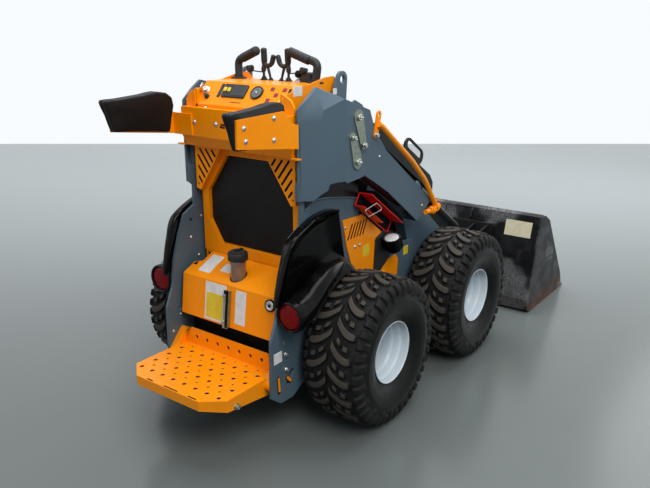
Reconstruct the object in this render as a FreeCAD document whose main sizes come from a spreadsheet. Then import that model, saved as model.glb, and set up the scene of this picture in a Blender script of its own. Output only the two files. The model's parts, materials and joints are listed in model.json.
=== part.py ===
import FreeCAD, Part
import math
import os

import Sketcher
from FreeCAD import Placement, Rotation, Vector

# Stand-on compact wheel loader.  Millimetres; +X forwards, +Y left, +Z up.  Every size below
# is measured from the ground point midway between the axles; axle_mid_x then moves the whole
# machine so that its origin is the middle of its own outline on the ground.

SIZES = {
    # wheels and where they stand
    "axle_mid_x": -250, "wheelbase": 734, "tyre_gap": 32, "tyre_radius": 292,
    "tyre_width": 258, "tread_width": 226, "rim_radius": 127, "rim_width": 206,
    "rim_wall": 7, "disc_offset": 38, "hub_bore": 42, "motor_radius": 74, "hub_radius": 41.7,
    # chassis
    "frame_half": 262, "plate_thick": 12, "frame_rear_x": -645, "frame_front_x": 585,
    "frame_low": 170, "floor_thick": 12, "bay_half": 185, "bay_top": 420, "bay_wall": 10,
    "side_rear_x": -778, "side_foot": 155, "side_step": 803,
    # towers, boom pivots and lifting eyes
    "tower_rear_x": -624, "tower_half": 360, "tower_wall": 6, "tower_low": 930,
    "tower_arch": 945, "bevel_low": 1169, "bevel_high": 1239, "bevel_x": -461,
    "tower_top": 1282, "tower_roof_x": -312, "tower_roof_z": 1190,
    "pivot_x": -381, "pivot_z": 1168, "pin_radius": 20, "pin_gap": 0.3, "lift_pin_x": -385,
    "lift_pin_z": 1009, "keeper_thick": 6,
    "eye_x": -308, "eye_half": 241, "eye_z": 1290, "eye_radius": 30, "eye_bore": 15,
    # boom
    "boom_half": 348, "boom_inner": 280, "boom_wall": 6, "boom_boss": 60, "boom_depth": 126,
    "boom_front_x": 220, "boom_front_z": 746, "leg_half": 255, "leg_inner": 205,
    "leg_low_x": 189, "leg_low_z": 549, "leg_depth": 150, "hitch_x": 820, "hitch_z": 210,
    "cross_x": 700, "cross_z": 380, "cross_radius": 38,
    "lift_eye_x": 100, "lift_eye_z": 725, "barrel_radius": 23, "rod_radius": 14,
    "eye_outer": 22, "lift_stroke": 193, "tilt_out": 170, "tilt_back": 85,
    "tilt_base_x": 270, "tilt_base_z": 785, "tilt_eye_dx": 60, "tilt_eye_dz": 170,
    "small_pin": 12, "guard_x": -240, "guard_z": 1128, "guard_radius": 11,
    # bucket and quick hitch
    "bucket_half": 556, "bucket_rear_x": 954, "bucket_top_x": 1070, "bucket_top": 510,
    "bucket_tip_x": 1530, "bucket_sheet": 8, "bucket_lift": 3, "bucket_heel": 80,
    "hitch_half": 300, "hitch_thick": 14, "edge_thick": 16, "rib_half": 165,
    # hood and engine
    "hood_half": 190, "hood_rear_x": -200, "hood_rear_z": 1130, "hood_bend_x": 20,
    "hood_bend_z": 1088, "hood_front_x": 500, "hood_front_z": 790, "hood_lip": 70,
    "hood_sheet": 6, "hood_gap": 8, "hinge_radius": 8,
    "engine_rear_x": 20, "engine_length": 400, "engine_half": 150, "engine_top": 640,
    # console and handles
    "beam_x": -612, "beam_low": 1044, "beam_high": 1190, "beam_half": 260, "beam_deep": 50,
    "console_half": 215, "console_front_x": -230, "console_top": 1280, "fin_top": 1302,
    "handle_x": -402, "handle_y": 188, "handle_low": 1281.5, "handle_high": 1389,
    "handle_inner": 78, "handle_radius": 15,
    "lever_x": -385, "lever_y": 80, "lever_high": 1370,
    # pads
    "pad_y": 295, "pad_thick": 46, "pad_rear_x": -1005, "pad_front_x": -722, "pad_top": 1240,
    "pad_low": 1132, "bracket_thick": 8,
    # rear shroud, tank and platform
    "shroud_x": -572, "shroud_thick": 6, "knee_half": 212, "knee_rim": 30,
    "vent_depth": 28,
    "knee_top": 1010, "knee_low": 653,
    "tank_half": 242, "tank_rear_x": -702, "tank_high": 612, "tank_edge": 549,
    "tank_low": 388, "tank_lean": 20, "tank_sheet": 5, "neck_radius": 24, "neck_x": -652, "neck_y": -8,
    "neck_high": 655,
    "deck_half": 236, "deck_rear_x": -1030, "deck_front_x": -712, "deck_top": 262,
    "deck_thick": 5, "deck_skirt": 75, "deck_corner": 62, "hole_pitch_x": 66,
    "hole_pitch_y": 57, "hole_radius": 7.5, "kick_top": 330, "fold_x": -757, "fold_z": 236,
    # fenders, lights and side vents
    "fender_wall": 6, "fender_wide": 71, "fender_gap": 12, "lamp_x": -741, "lamp_rim": 5,
    "lamp_z": 515, "lamp_radius": 50, "lamp_deep": 40, "vent_thick": 5, "work_x": -60, "work_out": 48,
    "work_z": 640, "work_radius": 40, "work_tilt": 20,
    "lock_x": -250, "lock_z": 866,
}

doc = FreeCAD.newDocument("compact_wheel_loader")
sheet = doc.addObject("Spreadsheet::Sheet", "sizes")


class Size:
    """A length or an angle: its spreadsheet expression and its present value."""

    def __init__(self, text, value):
        self.text = text
        self.value = float(value)

    def _with(self, sign, left, right):
        left, right = as_size(left), as_size(right)
        results = {"+": left.value + right.value, "-": left.value - right.value,
                   "*": left.value * right.value}
        value = left.value / right.value if sign == "/" else results[sign]
        return Size("(%s %s %s)" % (left.text, sign, right.text), value)

    def __add__(self, other):
        return self._with("+", self, other)

    def __radd__(self, other):
        return self._with("+", other, self)

    def __sub__(self, other):
        return self._with("-", self, other)

    def __rsub__(self, other):
        return self._with("-", other, self)

    def __mul__(self, other):
        return self._with("*", self, other)

    def __rmul__(self, other):
        return self._with("*", other, self)

    def __truediv__(self, other):
        return self._with("/", self, other)

    def __neg__(self):
        return self._with("-", 0, self)


def as_size(value):
    """A Size made from a plain number, or the Size itself."""
    return value if isinstance(value, Size) else Size(repr(value), value)


def least(first, second):
    """The smaller of two sizes."""
    first, second = as_size(first), as_size(second)
    return Size("min(%s; %s)" % (first.text, second.text), min(first.value, second.value))


def slope_angle(dx, dz):
    """The angle of a line that runs dx along X and dz along Z, in degrees."""
    dx, dz = as_size(dx), as_size(dz)
    value = math.degrees(math.atan2(dz.value, dx.value))
    return Size("atan2(%s; %s)" % (dz.text, dx.text), value)


def span_length(dx, dz):
    """The length of a line that runs dx along X and dz along Z."""
    dx, dz = as_size(dx), as_size(dz)
    value = math.hypot(dx.value, dz.value)
    return Size("sqrt((%s) ^ 2 + (%s) ^ 2)" % (dx.text, dz.text), value)


class Sheet:
    """Hands out each named size of the spreadsheet."""

    def __getattr__(self, name):
        return Size("sizes." + name, SIZES[name])


size = Sheet()


def fill_sheet():
    """Write every driving dimension into the spreadsheet under its own alias."""
    for row, (name, value) in enumerate(SIZES.items(), start=1):
        sheet.set("A%d" % row, name)
        sheet.set("B%d" % row, str(value))
        sheet.setAlias("B%d" % row, name)
    doc.recompute()


fill_sheet()

# The sketch plane of each view, the world axes that its own axes follow, and the sign of
# its normal along the third.
VIEWS = {
    "side": ("XZ_Plane", (0, 2), 1, -1),
    "rear": ("YZ_Plane", (1, 2), 0, 1),
    "plan": ("XY_Plane", (0, 1), 2, 1),
}

pieces = []


def bind(thing, target, value):
    """Tie one property of a document object to the spreadsheet."""
    thing.setExpression(target, as_size(value).text)


class Piece:
    """One sub-part: a body shaped by padded, cut, turned and rounded sketches."""

    def __init__(self, label):
        self.body = doc.addObject("PartDesign::Body", label)
        self.body.Label = label
        self.label = label
        self.count = 0
        pieces.append(self)
        self.place(0, 0, 0)

    def place(self, x, y, z, turn=None):
        """Put the body's own origin at a point, turned nose-up about Y by an angle."""
        if turn is not None:
            self.body.Placement = Placement(Vector(), Rotation(Vector(0, -1, 0), 1))
            bind(self.body, "Placement.Rotation.Angle", turn)
        bind(self.body, "Placement.Base.x", size.axle_mid_x + x)
        bind(self.body, "Placement.Base.y", y)
        bind(self.body, "Placement.Base.z", z)
        return self

    def _sketch(self, view, height):
        role, _, _, sign = VIEWS[view]
        self.count += 1
        sketch = self.body.newObject("Sketcher::SketchObject", "%s_s%d" % (self.label, self.count))
        plane = [item for item in self.body.Origin.OriginFeatures if item.Role == role][0]
        sketch.AttachmentSupport = [(plane, "")]
        sketch.MapMode = "FlatFace"
        bind(sketch, ".AttachmentOffset.Base.z", as_size(height) * sign)
        return sketch

    @staticmethod
    def _fix(sketch, kind, geometry, point, value):
        value = as_size(value)
        number = sketch.addConstraint(
            Sketcher.Constraint(kind, -1, 1, geometry, point, value.value))
        sketch.setExpression("Constraints[%d]" % number, value.text)

    def _outline(self, sketch, points):
        points = [(as_size(across), as_size(up)) for across, up in points]
        first = sketch.GeometryCount
        count = len(points)
        for index, (across, up) in enumerate(points):
            after = points[(index + 1) % count]
            sketch.addGeometry(Part.LineSegment(Vector(across.value, up.value, 0),
                                                Vector(after[0].value, after[1].value, 0)), False)
        for index in range(count):
            sketch.addConstraint(Sketcher.Constraint(
                "Coincident", first + index, 2, first + (index + 1) % count, 1))
        for index, (across, up) in enumerate(points):
            self._fix(sketch, "DistanceX", first + index, 1, across)
            self._fix(sketch, "DistanceY", first + index, 1, up)

    def _circle(self, sketch, centre, radius):
        across, up, radius = as_size(centre[0]), as_size(centre[1]), as_size(radius)
        index = sketch.addGeometry(
            Part.Circle(Vector(across.value, up.value, 0), Vector(0, 0, 1), radius.value), False)
        self._fix(sketch, "DistanceX", index, 3, across)
        self._fix(sketch, "DistanceY", index, 3, up)
        number = sketch.addConstraint(Sketcher.Constraint("Radius", index, radius.value))
        sketch.setExpression("Constraints[%d]" % number, radius.text)

    def _link(self, sketch, first, first_radius, last, last_radius):
        centres = [[as_size(value) for value in centre] for centre in (first, last)]
        radii = [as_size(first_radius), as_size(last_radius)]
        spots = [Vector(across.value, up.value, 0) for across, up in centres]
        along = spots[1] - spots[0]
        turn = math.atan2(along.y, along.x)
        lean = math.acos((radii[0].value - radii[1].value) / along.Length)
        sweeps = [(turn + lean, turn - lean + 2 * math.pi), (turn - lean, turn + lean)]
        arcs = []
        for spot, radius, sweep in zip(spots, radii, sweeps):
            circle = Part.Circle(spot, Vector(0, 0, 1), radius.value)
            arcs.append(sketch.addGeometry(Part.ArcOfCircle(circle, *sweep), False))
        for here, there in (arcs, arcs[::-1]):
            ends = [sketch.getPoint(here, 2), sketch.getPoint(there, 1)]
            line = sketch.addGeometry(Part.LineSegment(*ends), False)
            sketch.addConstraint(Sketcher.Constraint("Tangent", here, 2, line, 1))
            sketch.addConstraint(Sketcher.Constraint("Tangent", line, 2, there, 1))
        for arc, centre, radius in zip(arcs, centres, radii):
            self._fix(sketch, "DistanceX", arc, 3, centre[0])
            self._fix(sketch, "DistanceY", arc, 3, centre[1])
            number = sketch.addConstraint(Sketcher.Constraint("Radius", arc, radius.value))
            sketch.setExpression("Constraints[%d]" % number, radius.text)

    def _draw(self, sketch, shapes):
        for shape in shapes:
            if isinstance(shape, list):
                self._outline(sketch, shape)
            elif "last" in shape:
                self._link(sketch, **shape)
            else:
                self._circle(sketch, **shape)

    def _feature(self, kind, sketch):
        self.count += 1
        feature = self.body.newObject("PartDesign::" + kind, "%s_f%d" % (self.label, self.count))
        feature.Profile = sketch
        sketch.Visibility = False
        return feature

    def pad(self, view, low, high, *shapes):
        """Add material between two heights along the view's third axis."""
        sign = VIEWS[view][3]
        sketch = self._sketch(view, low if sign > 0 else high)
        self._draw(sketch, shapes)
        feature = self._feature("Pad", sketch)
        bind(feature, "Length", as_size(high) - low)
        return self

    def cut(self, view, low, high, *shapes):
        """Remove material between two heights along the view's third axis."""
        doc.recompute()
        before = self.body.Shape.Volume
        sign = VIEWS[view][3]
        sketch = self._sketch(view, high if sign > 0 else low)
        self._draw(sketch, shapes)
        feature = self._feature("Pocket", sketch)
        bind(feature, "Length", as_size(high) - low)
        doc.recompute()
        if not self.body.Shape.Volume < before - 1:
            raise ValueError("a cut in %s removes nothing" % self.label)
        return self

    def loft(self, view, low, low_shape, high, high_shape, kind="AdditiveLoft"):
        """Join two outlines with as many corners by straight walls, at two heights."""
        doc.recompute()
        ends = []
        for height, shape in ((low, low_shape), (high, high_shape)):
            ends.append(self._sketch(view, height))
            self._draw(ends[-1], [shape])
        feature = self._feature(kind, ends[0])
        feature.Sections = [ends[1]]
        feature.Ruled = True
        ends[1].Visibility = False
        return self

    def shave(self, view, low, low_shape, high, high_shape):
        """Cut away what lies in a loft between two outlines."""
        return self.loft(view, low, low_shape, high, high_shape, "SubtractiveLoft")

    def turn(self, outline):
        """Revolve a rear-view outline (across, radius) about the body's own Y axis."""
        sketch = self._sketch("rear", 0)
        self._outline(sketch, outline)
        feature = self._feature("Revolution", sketch)
        feature.ReferenceAxis = (sketch, ["H_Axis"])
        feature.Angle = 360
        return self

    def round(self, view, corners, radius):
        """Fillet the straight edges that stand at the given corners of a view."""
        doc.recompute()
        _, (across, up), third, _ = VIEWS[view]
        places = [(as_size(a).value, as_size(b).value) for a, b in corners]
        base = self.body.Tip
        names = []
        for number, edge in enumerate(base.Shape.Edges, start=1):
            ends = [vertex.Point for vertex in edge.Vertexes]
            if len(ends) != 2 or abs(ends[0][third] - ends[1][third]) < 1e-6:
                continue
            flat = all(abs(ends[0][k] - ends[1][k]) < 1e-4 for k in (across, up))
            if flat and any(math.hypot(ends[0][across] - a, ends[0][up] - b) < 0.05
                            for a, b in places):
                names.append("Edge%d" % number)
        if not names:
            raise ValueError("no corner to round in %s" % self.label)
        self.count += 1
        feature = self.body.newObject("PartDesign::Fillet", "%s_f%d" % (self.label, self.count))
        feature.Base = (base, names)
        bind(feature, "Radius", radius)
        return self


def disc(across, up, radius):
    """A circle for a sketch, by its centre and radius."""
    return {"centre": (across, up), "radius": radius}


def link(first, first_radius, last, last_radius=None):
    """A flat link for a sketch: two round ends joined by straight sides."""
    if last_radius is None:
        last_radius = first_radius
    return {"first": first, "first_radius": first_radius, "last": last,
            "last_radius": last_radius}


def box(left, right, low, high):
    """A rectangle for a sketch."""
    return [(left, low), (right, low), (right, high), (left, high)]


def sides(inner, outer):
    """The two mirrored spans, left and right of the middle, between two distances from it."""
    return [(as_size(inner), as_size(outer)), (-as_size(outer), -as_size(inner))]


def ordered(side, inner, outer):
    """One of the two mirrored spans: side is +1 on the left and -1 on the right."""
    return sides(inner, outer)[0 if side > 0 else 1]


SIDES = (("left", 1), ("right", -1))


def cheek_face():
    """How far out the side plates' outer faces stand."""
    return size.frame_half + size.plate_thick


def wheel_middle():
    """How far out the middle of each wheel stands: its tyre clears the frame by an even gap."""
    return size.frame_half + size.tyre_gap + size.tyre_width / 2


def lamp_middle():
    """How far out the middle of each tail light stands, its horn against the side plate."""
    return cheek_face() + size.lamp_radius + size.lamp_rim


# ---------------------------------------------------------------- chassis

def main_frame():
    """The open-topped engine tub on its wide floor, with a rear cross wall."""
    low = size.frame_low
    floor = low + size.floor_thick
    rear, front = size.frame_rear_x, size.frame_front_x
    piece = Piece("main_frame")
    piece.pad("side", -size.frame_half, size.frame_half, box(rear, front, low, floor))
    piece.pad("side", -size.bay_half, size.bay_half,
              [(rear + 15, floor), (front - 40, floor), (front - 40, size.bay_top - 60),
               (front - 70, size.bay_top), (rear + 15, size.bay_top)])
    inner = size.bay_half - size.bay_wall
    piece.cut("side", -inner, inner,
              box(rear + 15 + size.bay_wall, front - 80 - size.bay_wall, floor,
                  size.bay_top + 1))
    piece.pad("side", -size.frame_half, size.frame_half,
              box(rear, rear + 10, floor, size.tank_low - 18))
    drains = [link((front - 150 - 210 * row, -70), 22, (front - 150 - 210 * row, 70))
              for row in range(4)]
    piece.cut("plan", low, floor, *drains)
    return piece


def side_plate(name, side):
    """A tall chassis cheek that runs from the platform ears up into the tower."""
    low, high = ordered(side, size.frame_half, size.frame_half + size.plate_thick)
    rear = size.side_rear_x
    foot = size.side_foot
    axle = size.wheelbase / 2
    outline = [
        (rear + 46, foot + 2), (rear + 118, foot), (rear + 170, foot + 30),
        (size.frame_front_x, foot + 30), (size.frame_front_x, foot + 70),
        (axle + 95, size.tyre_radius + 30), (axle - 5, size.tyre_radius + 108),
        (size.leg_low_x - 70, size.leg_low_z - 50), (size.leg_low_x - 200, size.leg_low_z + 80),
        (rear + 540, size.side_step - 38), (rear + 534, size.tower_arch - 70),
        (size.bevel_x + 180, size.pivot_z - 30), (size.pivot_x + 90, size.pivot_z + 20),
        (size.bevel_x - 50, size.tower_top - 12), (size.tower_rear_x + 30, size.tower_top - 74),
        (size.tower_rear_x + 18, size.side_step), (rear + 115, size.side_step - 30),
        (rear + 82, size.side_step - 106), (rear + 50, size.side_step - 204),
        (rear + 32, size.side_step - 314), (rear, size.side_step - 386), (rear - 4, foot + 40),
    ]
    piece = Piece(name).pad("side", low, high, outline)
    piece.cut("side", low, high, disc(size.pivot_x, size.pivot_z, size.pin_radius),
              disc(size.lift_pin_x, size.lift_pin_z, size.pin_radius),
              disc(rear + 65, foot + 239, 9),
              link((rear + 38, foot + 42), 7, (rear + 38, foot + 103)),
              link((rear + 84, foot + 66), 8, (rear + 112, foot + 106), 12),
              disc(rear + 150, size.side_step - 60, 8))
    piece.round("side", [outline[index] for index in (0, 1, 11, 12, 17, 18, 20)], 30)
    return piece


def tower(name, side):
    """The bent-sheet housing outside a cheek: rear wall, arched outer wall, bevelled roof."""
    inner = size.frame_half + size.plate_thick
    low, high = ordered(side, inner, size.tower_half)
    wall = size.tower_wall
    rear = size.tower_rear_x
    arch = size.tower_arch
    brow = size.tower_roof_x
    outline = [
        (rear, size.tower_low), (rear + 50, arch - 6), (rear + 140, arch + 4),
        (rear + 240, arch), (rear + 294, arch + 3), (rear + 290, size.pivot_z - 138),
        (rear + 329, size.pivot_z - 90), (rear + 347, size.pivot_z - 34),
        (brow, size.tower_roof_z + 18), (size.bevel_x, size.bevel_high + 25),
        (size.bevel_x - 65, size.tower_top - 3), (rear, size.bevel_low + 42),
    ]
    piece = Piece(name).pad("side", low, high, outline)
    piece.round("side", [outline[index] for index in (1, 2, 3)], 120)
    piece.round("side", [outline[index] for index in (5, 6, 7, 8)], 14)
    hollow = ordered(side, inner, size.tower_half - wall)
    piece.cut("side", hollow[0], hollow[1],
              [(rear + wall, size.tower_low - 30), (rear + 400, size.tower_low - 30),
               (rear + 400, size.tower_top + 30), (size.bevel_x + 10, size.tower_top + 30),
               (size.bevel_x + 10, size.bevel_high - 30), (rear + wall, size.bevel_low - 8)])
    piece.cut("side", low, high, disc(size.pivot_x, size.pivot_z, size.pin_radius),
              disc(size.lift_pin_x, size.lift_pin_z, size.pin_radius))

    def corner(rise, lift):
        """What lies above the roof's outer edge in rear view, by its slope and its height."""
        edge = size.tower_half + 1
        return [(edge * side, lift - rise), ((edge - 120) * side, lift + rise * 119),
                (edge * side, lift + rise * 119 + 60)]

    rate = (size.bevel_high - size.bevel_low) / (size.bevel_x - rear)
    start, stop = rear - 5, size.bevel_x + 40
    piece.shave("rear", start, corner(1, size.bevel_low - 5 * rate),
                stop, corner(1, size.bevel_high + 40 * rate))
    drop = (size.bevel_high - size.tower_roof_z) / (brow - size.bevel_x)
    piece.shave("rear", size.bevel_x - 60, corner(0.27, size.bevel_high + 60 * drop),
                brow + 60, corner(0.27, size.tower_roof_z - 60 * drop))
    return piece


def pivot_pins():
    """The fixed pins of the boom and the lift cylinders, each with its link-shaped keeper."""
    piece = Piece("pivot_pins")
    heads = [(size.pivot_x, size.pivot_z, 33, -102), (size.lift_pin_x, size.lift_pin_z, -33, 93)]
    for low, high in sides(size.frame_half, size.tower_half):
        for x, z, _, _ in heads:
            piece.pad("side", low, high, disc(x, z, size.pin_radius))
    for low, high in sides(size.tower_half, size.tower_half + size.keeper_thick):
        for x, z, across, up in heads:
            piece.pad("side", low, high, link((x, z), 27, (x + across, z + up), 17))
    for low, high in sides(size.tower_half, size.tower_half + size.keeper_thick + 5):
        for x, z, across, up in heads:
            piece.pad("side", low, high, disc(x, z, 12))
            piece.pad("side", low, high, disc(x + across, z + up, 8))
    return piece


def lift_eyes():
    """The two lifting eyes, each a ringed lug on a foot that stands against its cheek."""
    piece = Piece("lift_eyes")
    x, z, ring = size.eye_x, size.eye_z, size.eye_radius
    foot = z - 170
    for low, high in sides(size.eye_half - 12, size.eye_half):
        piece.pad("side", low, high, link((x - 22, z - 80), ring + 16, (x, z), ring))
        piece.pad("side", low, high,
                  [(x - 95, foot), (x + 30, foot), (x + 22, z - 78), (x - 66, z - 78),
                   (x - 95, z - 120)])
        piece.cut("side", low, high, disc(x, z, size.eye_bore))
    for low, high in sides(size.eye_half, size.frame_half):
        piece.pad("side", low, high, box(x - 95, x + 28, foot, z - 130))
    return piece


def engine_block():
    """The engine as one plain mass on the floor of the tub."""
    rear = size.engine_rear_x
    floor = size.frame_low + size.floor_thick
    front = rear + size.engine_length
    return Piece("engine_block").pad(
        "side", -size.engine_half, size.engine_half,
        [(rear, floor), (front, floor), (front, size.engine_top - 60),
         (front - 60, size.engine_top), (rear, size.engine_top)])


def hood_line():
    """The hood's top edge in side view, from the hinge to the nose."""
    return [(size.hood_rear_x, size.hood_rear_z), (size.hood_bend_x, size.hood_bend_z),
            (size.hood_front_x, size.hood_front_z)]


def hood_hinge():
    """The centre of the lid's hinge, just under its rear edge."""
    return size.hood_rear_x, size.hood_rear_z - 16


def hood():
    """The engine lid: a bent sheet with side and front lips and a loop handle."""
    lip = size.hood_lip
    skin = size.hood_sheet
    nose = (size.hood_front_x + 30, size.hood_front_z - 40)
    top = hood_line() + [nose]
    piece = Piece("hood")
    piece.pad("side", -size.hood_half, size.hood_half,
              top + [(nose[0], nose[1] - lip), (size.hood_front_x - 10, size.hood_front_z - lip),
                     (size.hood_bend_x, size.hood_bend_z - lip),
                     (size.hood_rear_x, size.hood_rear_z - lip)])
    inner = size.hood_half - skin
    piece.cut("side", -inner, inner,
              [(size.hood_rear_x - 1, size.hood_rear_z - skin),
               (size.hood_bend_x, size.hood_bend_z - skin),
               (size.hood_front_x - skin, size.hood_front_z - skin),
               (nose[0] - skin, nose[1] - skin), (nose[0] - skin, nose[1] - lip - 1),
               (size.hood_rear_x - 1, nose[1] - lip - 1)])
    grip = [(size.hood_bend_x + 284, size.hood_bend_z - 134),
            (size.hood_bend_x + 385, size.hood_bend_z - 197)]
    for low, high in ((-inner + 4, -inner + 12),):
        piece.pad("side", low, high, link(grip[0], 38, grip[1]))
        piece.cut("side", low, high,
                  link((grip[0][0] + 6, grip[0][1] + 9), 17, (grip[1][0] + 6, grip[1][1] + 9)))
    for low, high in sides(60, 100):
        piece.pad("side", low, high, disc(*hood_hinge(), size.hinge_radius))
        piece.pad("side", low, high,
                  box(size.hood_rear_x, size.hood_rear_x + 8, size.hood_rear_z - 16,
                      size.hood_rear_z - skin))
    return piece


def engine_cover():
    """The fixed sides and slatted front that stand in the tub under the lid."""
    half = size.hood_half - size.hood_sheet - size.hood_gap
    low = size.bay_top
    front = size.hood_front_x + 5
    lip = size.hood_sheet + size.hood_gap
    outline = [(size.hood_rear_x + 20, low), (front, low), (front, size.hood_front_z - lip - 24),
               (size.hood_bend_x, size.hood_bend_z - lip - 4),
               (size.hood_rear_x + 20, size.hood_rear_z - lip - 4)]
    piece = Piece("engine_cover").pad("side", -half, half, outline)
    wall = 5
    piece.cut("side", -half + wall, half - wall,
              [(size.hood_rear_x + 20 + wall, low), (front - wall, low),
               (front - wall, size.hood_front_z + 200), (size.hood_rear_x + 20 + wall, 1300)])
    slots = [box(-120, 120, low + 45 + 42 * row, low + 62 + 42 * row) for row in range(6)]
    piece.cut("rear", front - wall - 1, front + 1, *slots)
    x, z = hood_hinge()
    for low, high in sides(100.5, 130):
        piece.pad("side", low, high, disc(x, z, size.hinge_radius))
        piece.pad("side", low, high, box(x, x + 22, z - 14, z - 2))
    return piece


# ---------------------------------------------------------------- operator's end

def console():
    """The sloped instrument housing between the towers, with raised cheeks at its sides."""
    rear = size.beam_x + 14
    front = size.console_front_x
    top = size.console_top
    low = size.beam_low
    half = size.console_half
    wall = 5
    piece = Piece("console")
    ridge = size.beam_high + 0.3
    foot = rear - 20
    piece.pad("side", -half, half,
              [(rear, low), (front, low), (front, top - 128), (front - 90, top - 18),
               (front - 140, top), (foot + 67, top), (foot, ridge + 10), (foot, ridge),
               (rear, ridge)])
    piece.cut("side", -half + wall, half - wall,
              [(rear + wall, low - 1), (front - wall, low - 1), (front - wall, top - 132),
               (front - 94, top - 24), (front - 142, top - wall), (foot + 70, top - wall),
               (rear + wall, ridge + 27)])
    fin = size.fin_top
    cheek = [(rear - 24, ridge), (rear - 24, top - 30), (rear + 100, top - 4),
             (front - 152, fin - 2), (front - 96, fin), (front - 42, fin - 50),
             (front, top - 128), (front, low + 12), (rear, low + 12), (rear, ridge)]
    for low_y, high_y in sides(half - wall, half):
        piece.pad("side", low_y, high_y, cheek)
    piece.round("side", [cheek[index] for index in (1, 3, 4)], 18)
    return piece


def cross_beam():
    """The folded beam across the operator's end, open to the front, with two lacing slots."""
    rear, front = size.beam_x - size.beam_deep + 14, size.beam_x + 14
    low, high = size.beam_low, size.beam_high
    sheet_thick = 6
    piece = Piece("cross_beam")
    piece.pad("side", -size.beam_half, size.beam_half,
              [(rear, low + 40), (rear + 20, low), (front, low), (front, high), (rear, high)])
    piece.cut("side", -size.beam_half + sheet_thick, size.beam_half - sheet_thick,
              [(rear + sheet_thick, low + 42), (rear + 24, low + sheet_thick),
               (front + 1, low + sheet_thick), (front + 1, high - sheet_thick),
               (rear + sheet_thick, high - sheet_thick)])
    middle = (low + high) / 2 + 10
    piece.cut("rear", rear - 1, rear + sheet_thick + 1,
              *[link((across, middle), 4, (across + 20, middle)) for across in (-60, 40)])
    for span in sides(size.beam_half, size.beam_half + 36):
        piece.pad("side", span[0], span[1], box(rear + 6, rear + 23.5, low, low + 5))
    return piece


def rounded_path(points, bend):
    """A wire of straight runs through the points, with each corner an arc of one radius."""
    edges = []
    start = points[0]
    for before, corner, after in zip(points, points[1:], points[2:]):
        back = (before - corner).normalize()
        ahead = (after - corner).normalize()
        half = back.getAngle(ahead) / 2
        reach = bend / math.tan(half)
        first, last = corner + back * reach, corner + ahead * reach
        middle = (back + ahead).normalize()
        bulge = corner + middle * (bend / math.sin(half) - bend)
        edges.append(Part.LineSegment(start, first).toShape())
        edges.append(Part.Arc(first, bulge, last).toShape())
        start = last
    edges.append(Part.LineSegment(start, points[-1]).toShape())
    return Part.Wire(edges)


def bar(points, bend, radius):
    """A round bar along a path with rounded corners."""
    path = rounded_path(points, bend)
    first = (points[1] - points[0]).normalize()
    ring = Part.Wire([Part.Circle(points[0], first, radius).toShape()])
    return path.makePipeShell([ring], True, False)


class ShapePiece:
    """A sub-part whose shape Part's own functions make from the sizes in the sheet."""

    def __init__(self, label, shape):
        self.label = label
        self.body = doc.addObject("Part::Feature", label)
        self.body.Label = label
        self.body.Shape = shape
        bind(self.body, "Placement.Base.x", size.axle_mid_x)
        pieces.append(self)


def link_solid(first, last, first_radius, last_radius, low, high, side):
    """A flat link in side view between two round ends, from one distance off the middle out."""
    out = Vector(0, side, 0)
    along = last - first
    turn = math.atan2(along.z, along.x)
    lean = math.acos((first_radius - last_radius) / along.Length)
    corners = []
    for centre, radius, sign in ((first, first_radius, 1), (last, last_radius, 1),
                                 (last, last_radius, -1), (first, first_radius, -1)):
        angle = turn + lean * sign
        corners.append(Vector(centre.x + radius * math.cos(angle), low * side,
                              centre.z + radius * math.sin(angle)))
    solid = Part.Face(Part.makePolygon(corners + corners[:1])).extrude(out * (high - low))
    for centre, radius in ((first, first_radius), (last, last_radius)):
        foot = Vector(centre.x, low * side, centre.z)
        solid = solid.fuse(Part.makeCylinder(radius, high - low, foot, out))
    return solid.removeSplitter()


def point(x, y, z):
    """A point from sizes, at their present values."""
    return Vector(as_size(x).value, as_size(y).value, as_size(z).value)


def grab_handles():
    """The two inward-leaning grab bars that stand on the console."""
    bars = []
    for side in (1, -1):
        bars.append(bar([point(size.handle_x, size.handle_y * side, size.handle_low),
                         point(size.handle_x + 6, (size.handle_y + 6) * side,
                               size.handle_low + 68),
                         point(size.handle_x - 14, size.handle_inner * side,
                               size.handle_high)],
                        24, SIZES["handle_radius"]))
    return ShapePiece("grab_handles", Part.makeCompound(bars))


def control_levers():
    """Two lever sticks with their forked knobs, standing on the console."""
    solids = []
    for side in (1, -1):
        foot = point(size.lever_x, size.lever_y * side, size.console_top + 2.6)
        top = point(size.lever_x + 10, (size.lever_y - 35) * side, size.lever_high)
        stick = bar([foot, foot + (top - foot) * 0.5 + Vector(4, 0, 0), top], 60, 6)
        knob = Part.makeSphere(15, top)
        solids.append(stick.fuse(knob).removeSplitter())
    return ShapePiece("control_levers", Part.makeCompound(solids))


def pad_brackets():
    """The two plates that carry the side pads, each bent inwards onto the cross beam."""
    piece = Piece("pad_brackets")
    rear = size.pad_rear_x + 62
    front = size.beam_x - size.beam_deep + 14
    for side in (1, -1):
        low, high = ordered(side, size.pad_y, size.pad_y + size.bracket_thick)
        piece.pad("side", low, high,
                  [(rear, size.pad_low - 8), (size.pad_front_x, size.pad_low - 36),
                   (front, size.beam_low + 42), (front, size.beam_high - 24),
                   (front - 30, size.beam_high - 16), (size.pad_front_x, size.pad_top - 22),
                   (rear, size.pad_top - 28)])
        low, high = ordered(side, size.beam_half - 60, size.pad_y)
        piece.pad("side", low, high,
                  box(front - size.bracket_thick, front, size.beam_low + 42,
                      size.beam_high - 24))
    return piece


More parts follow.
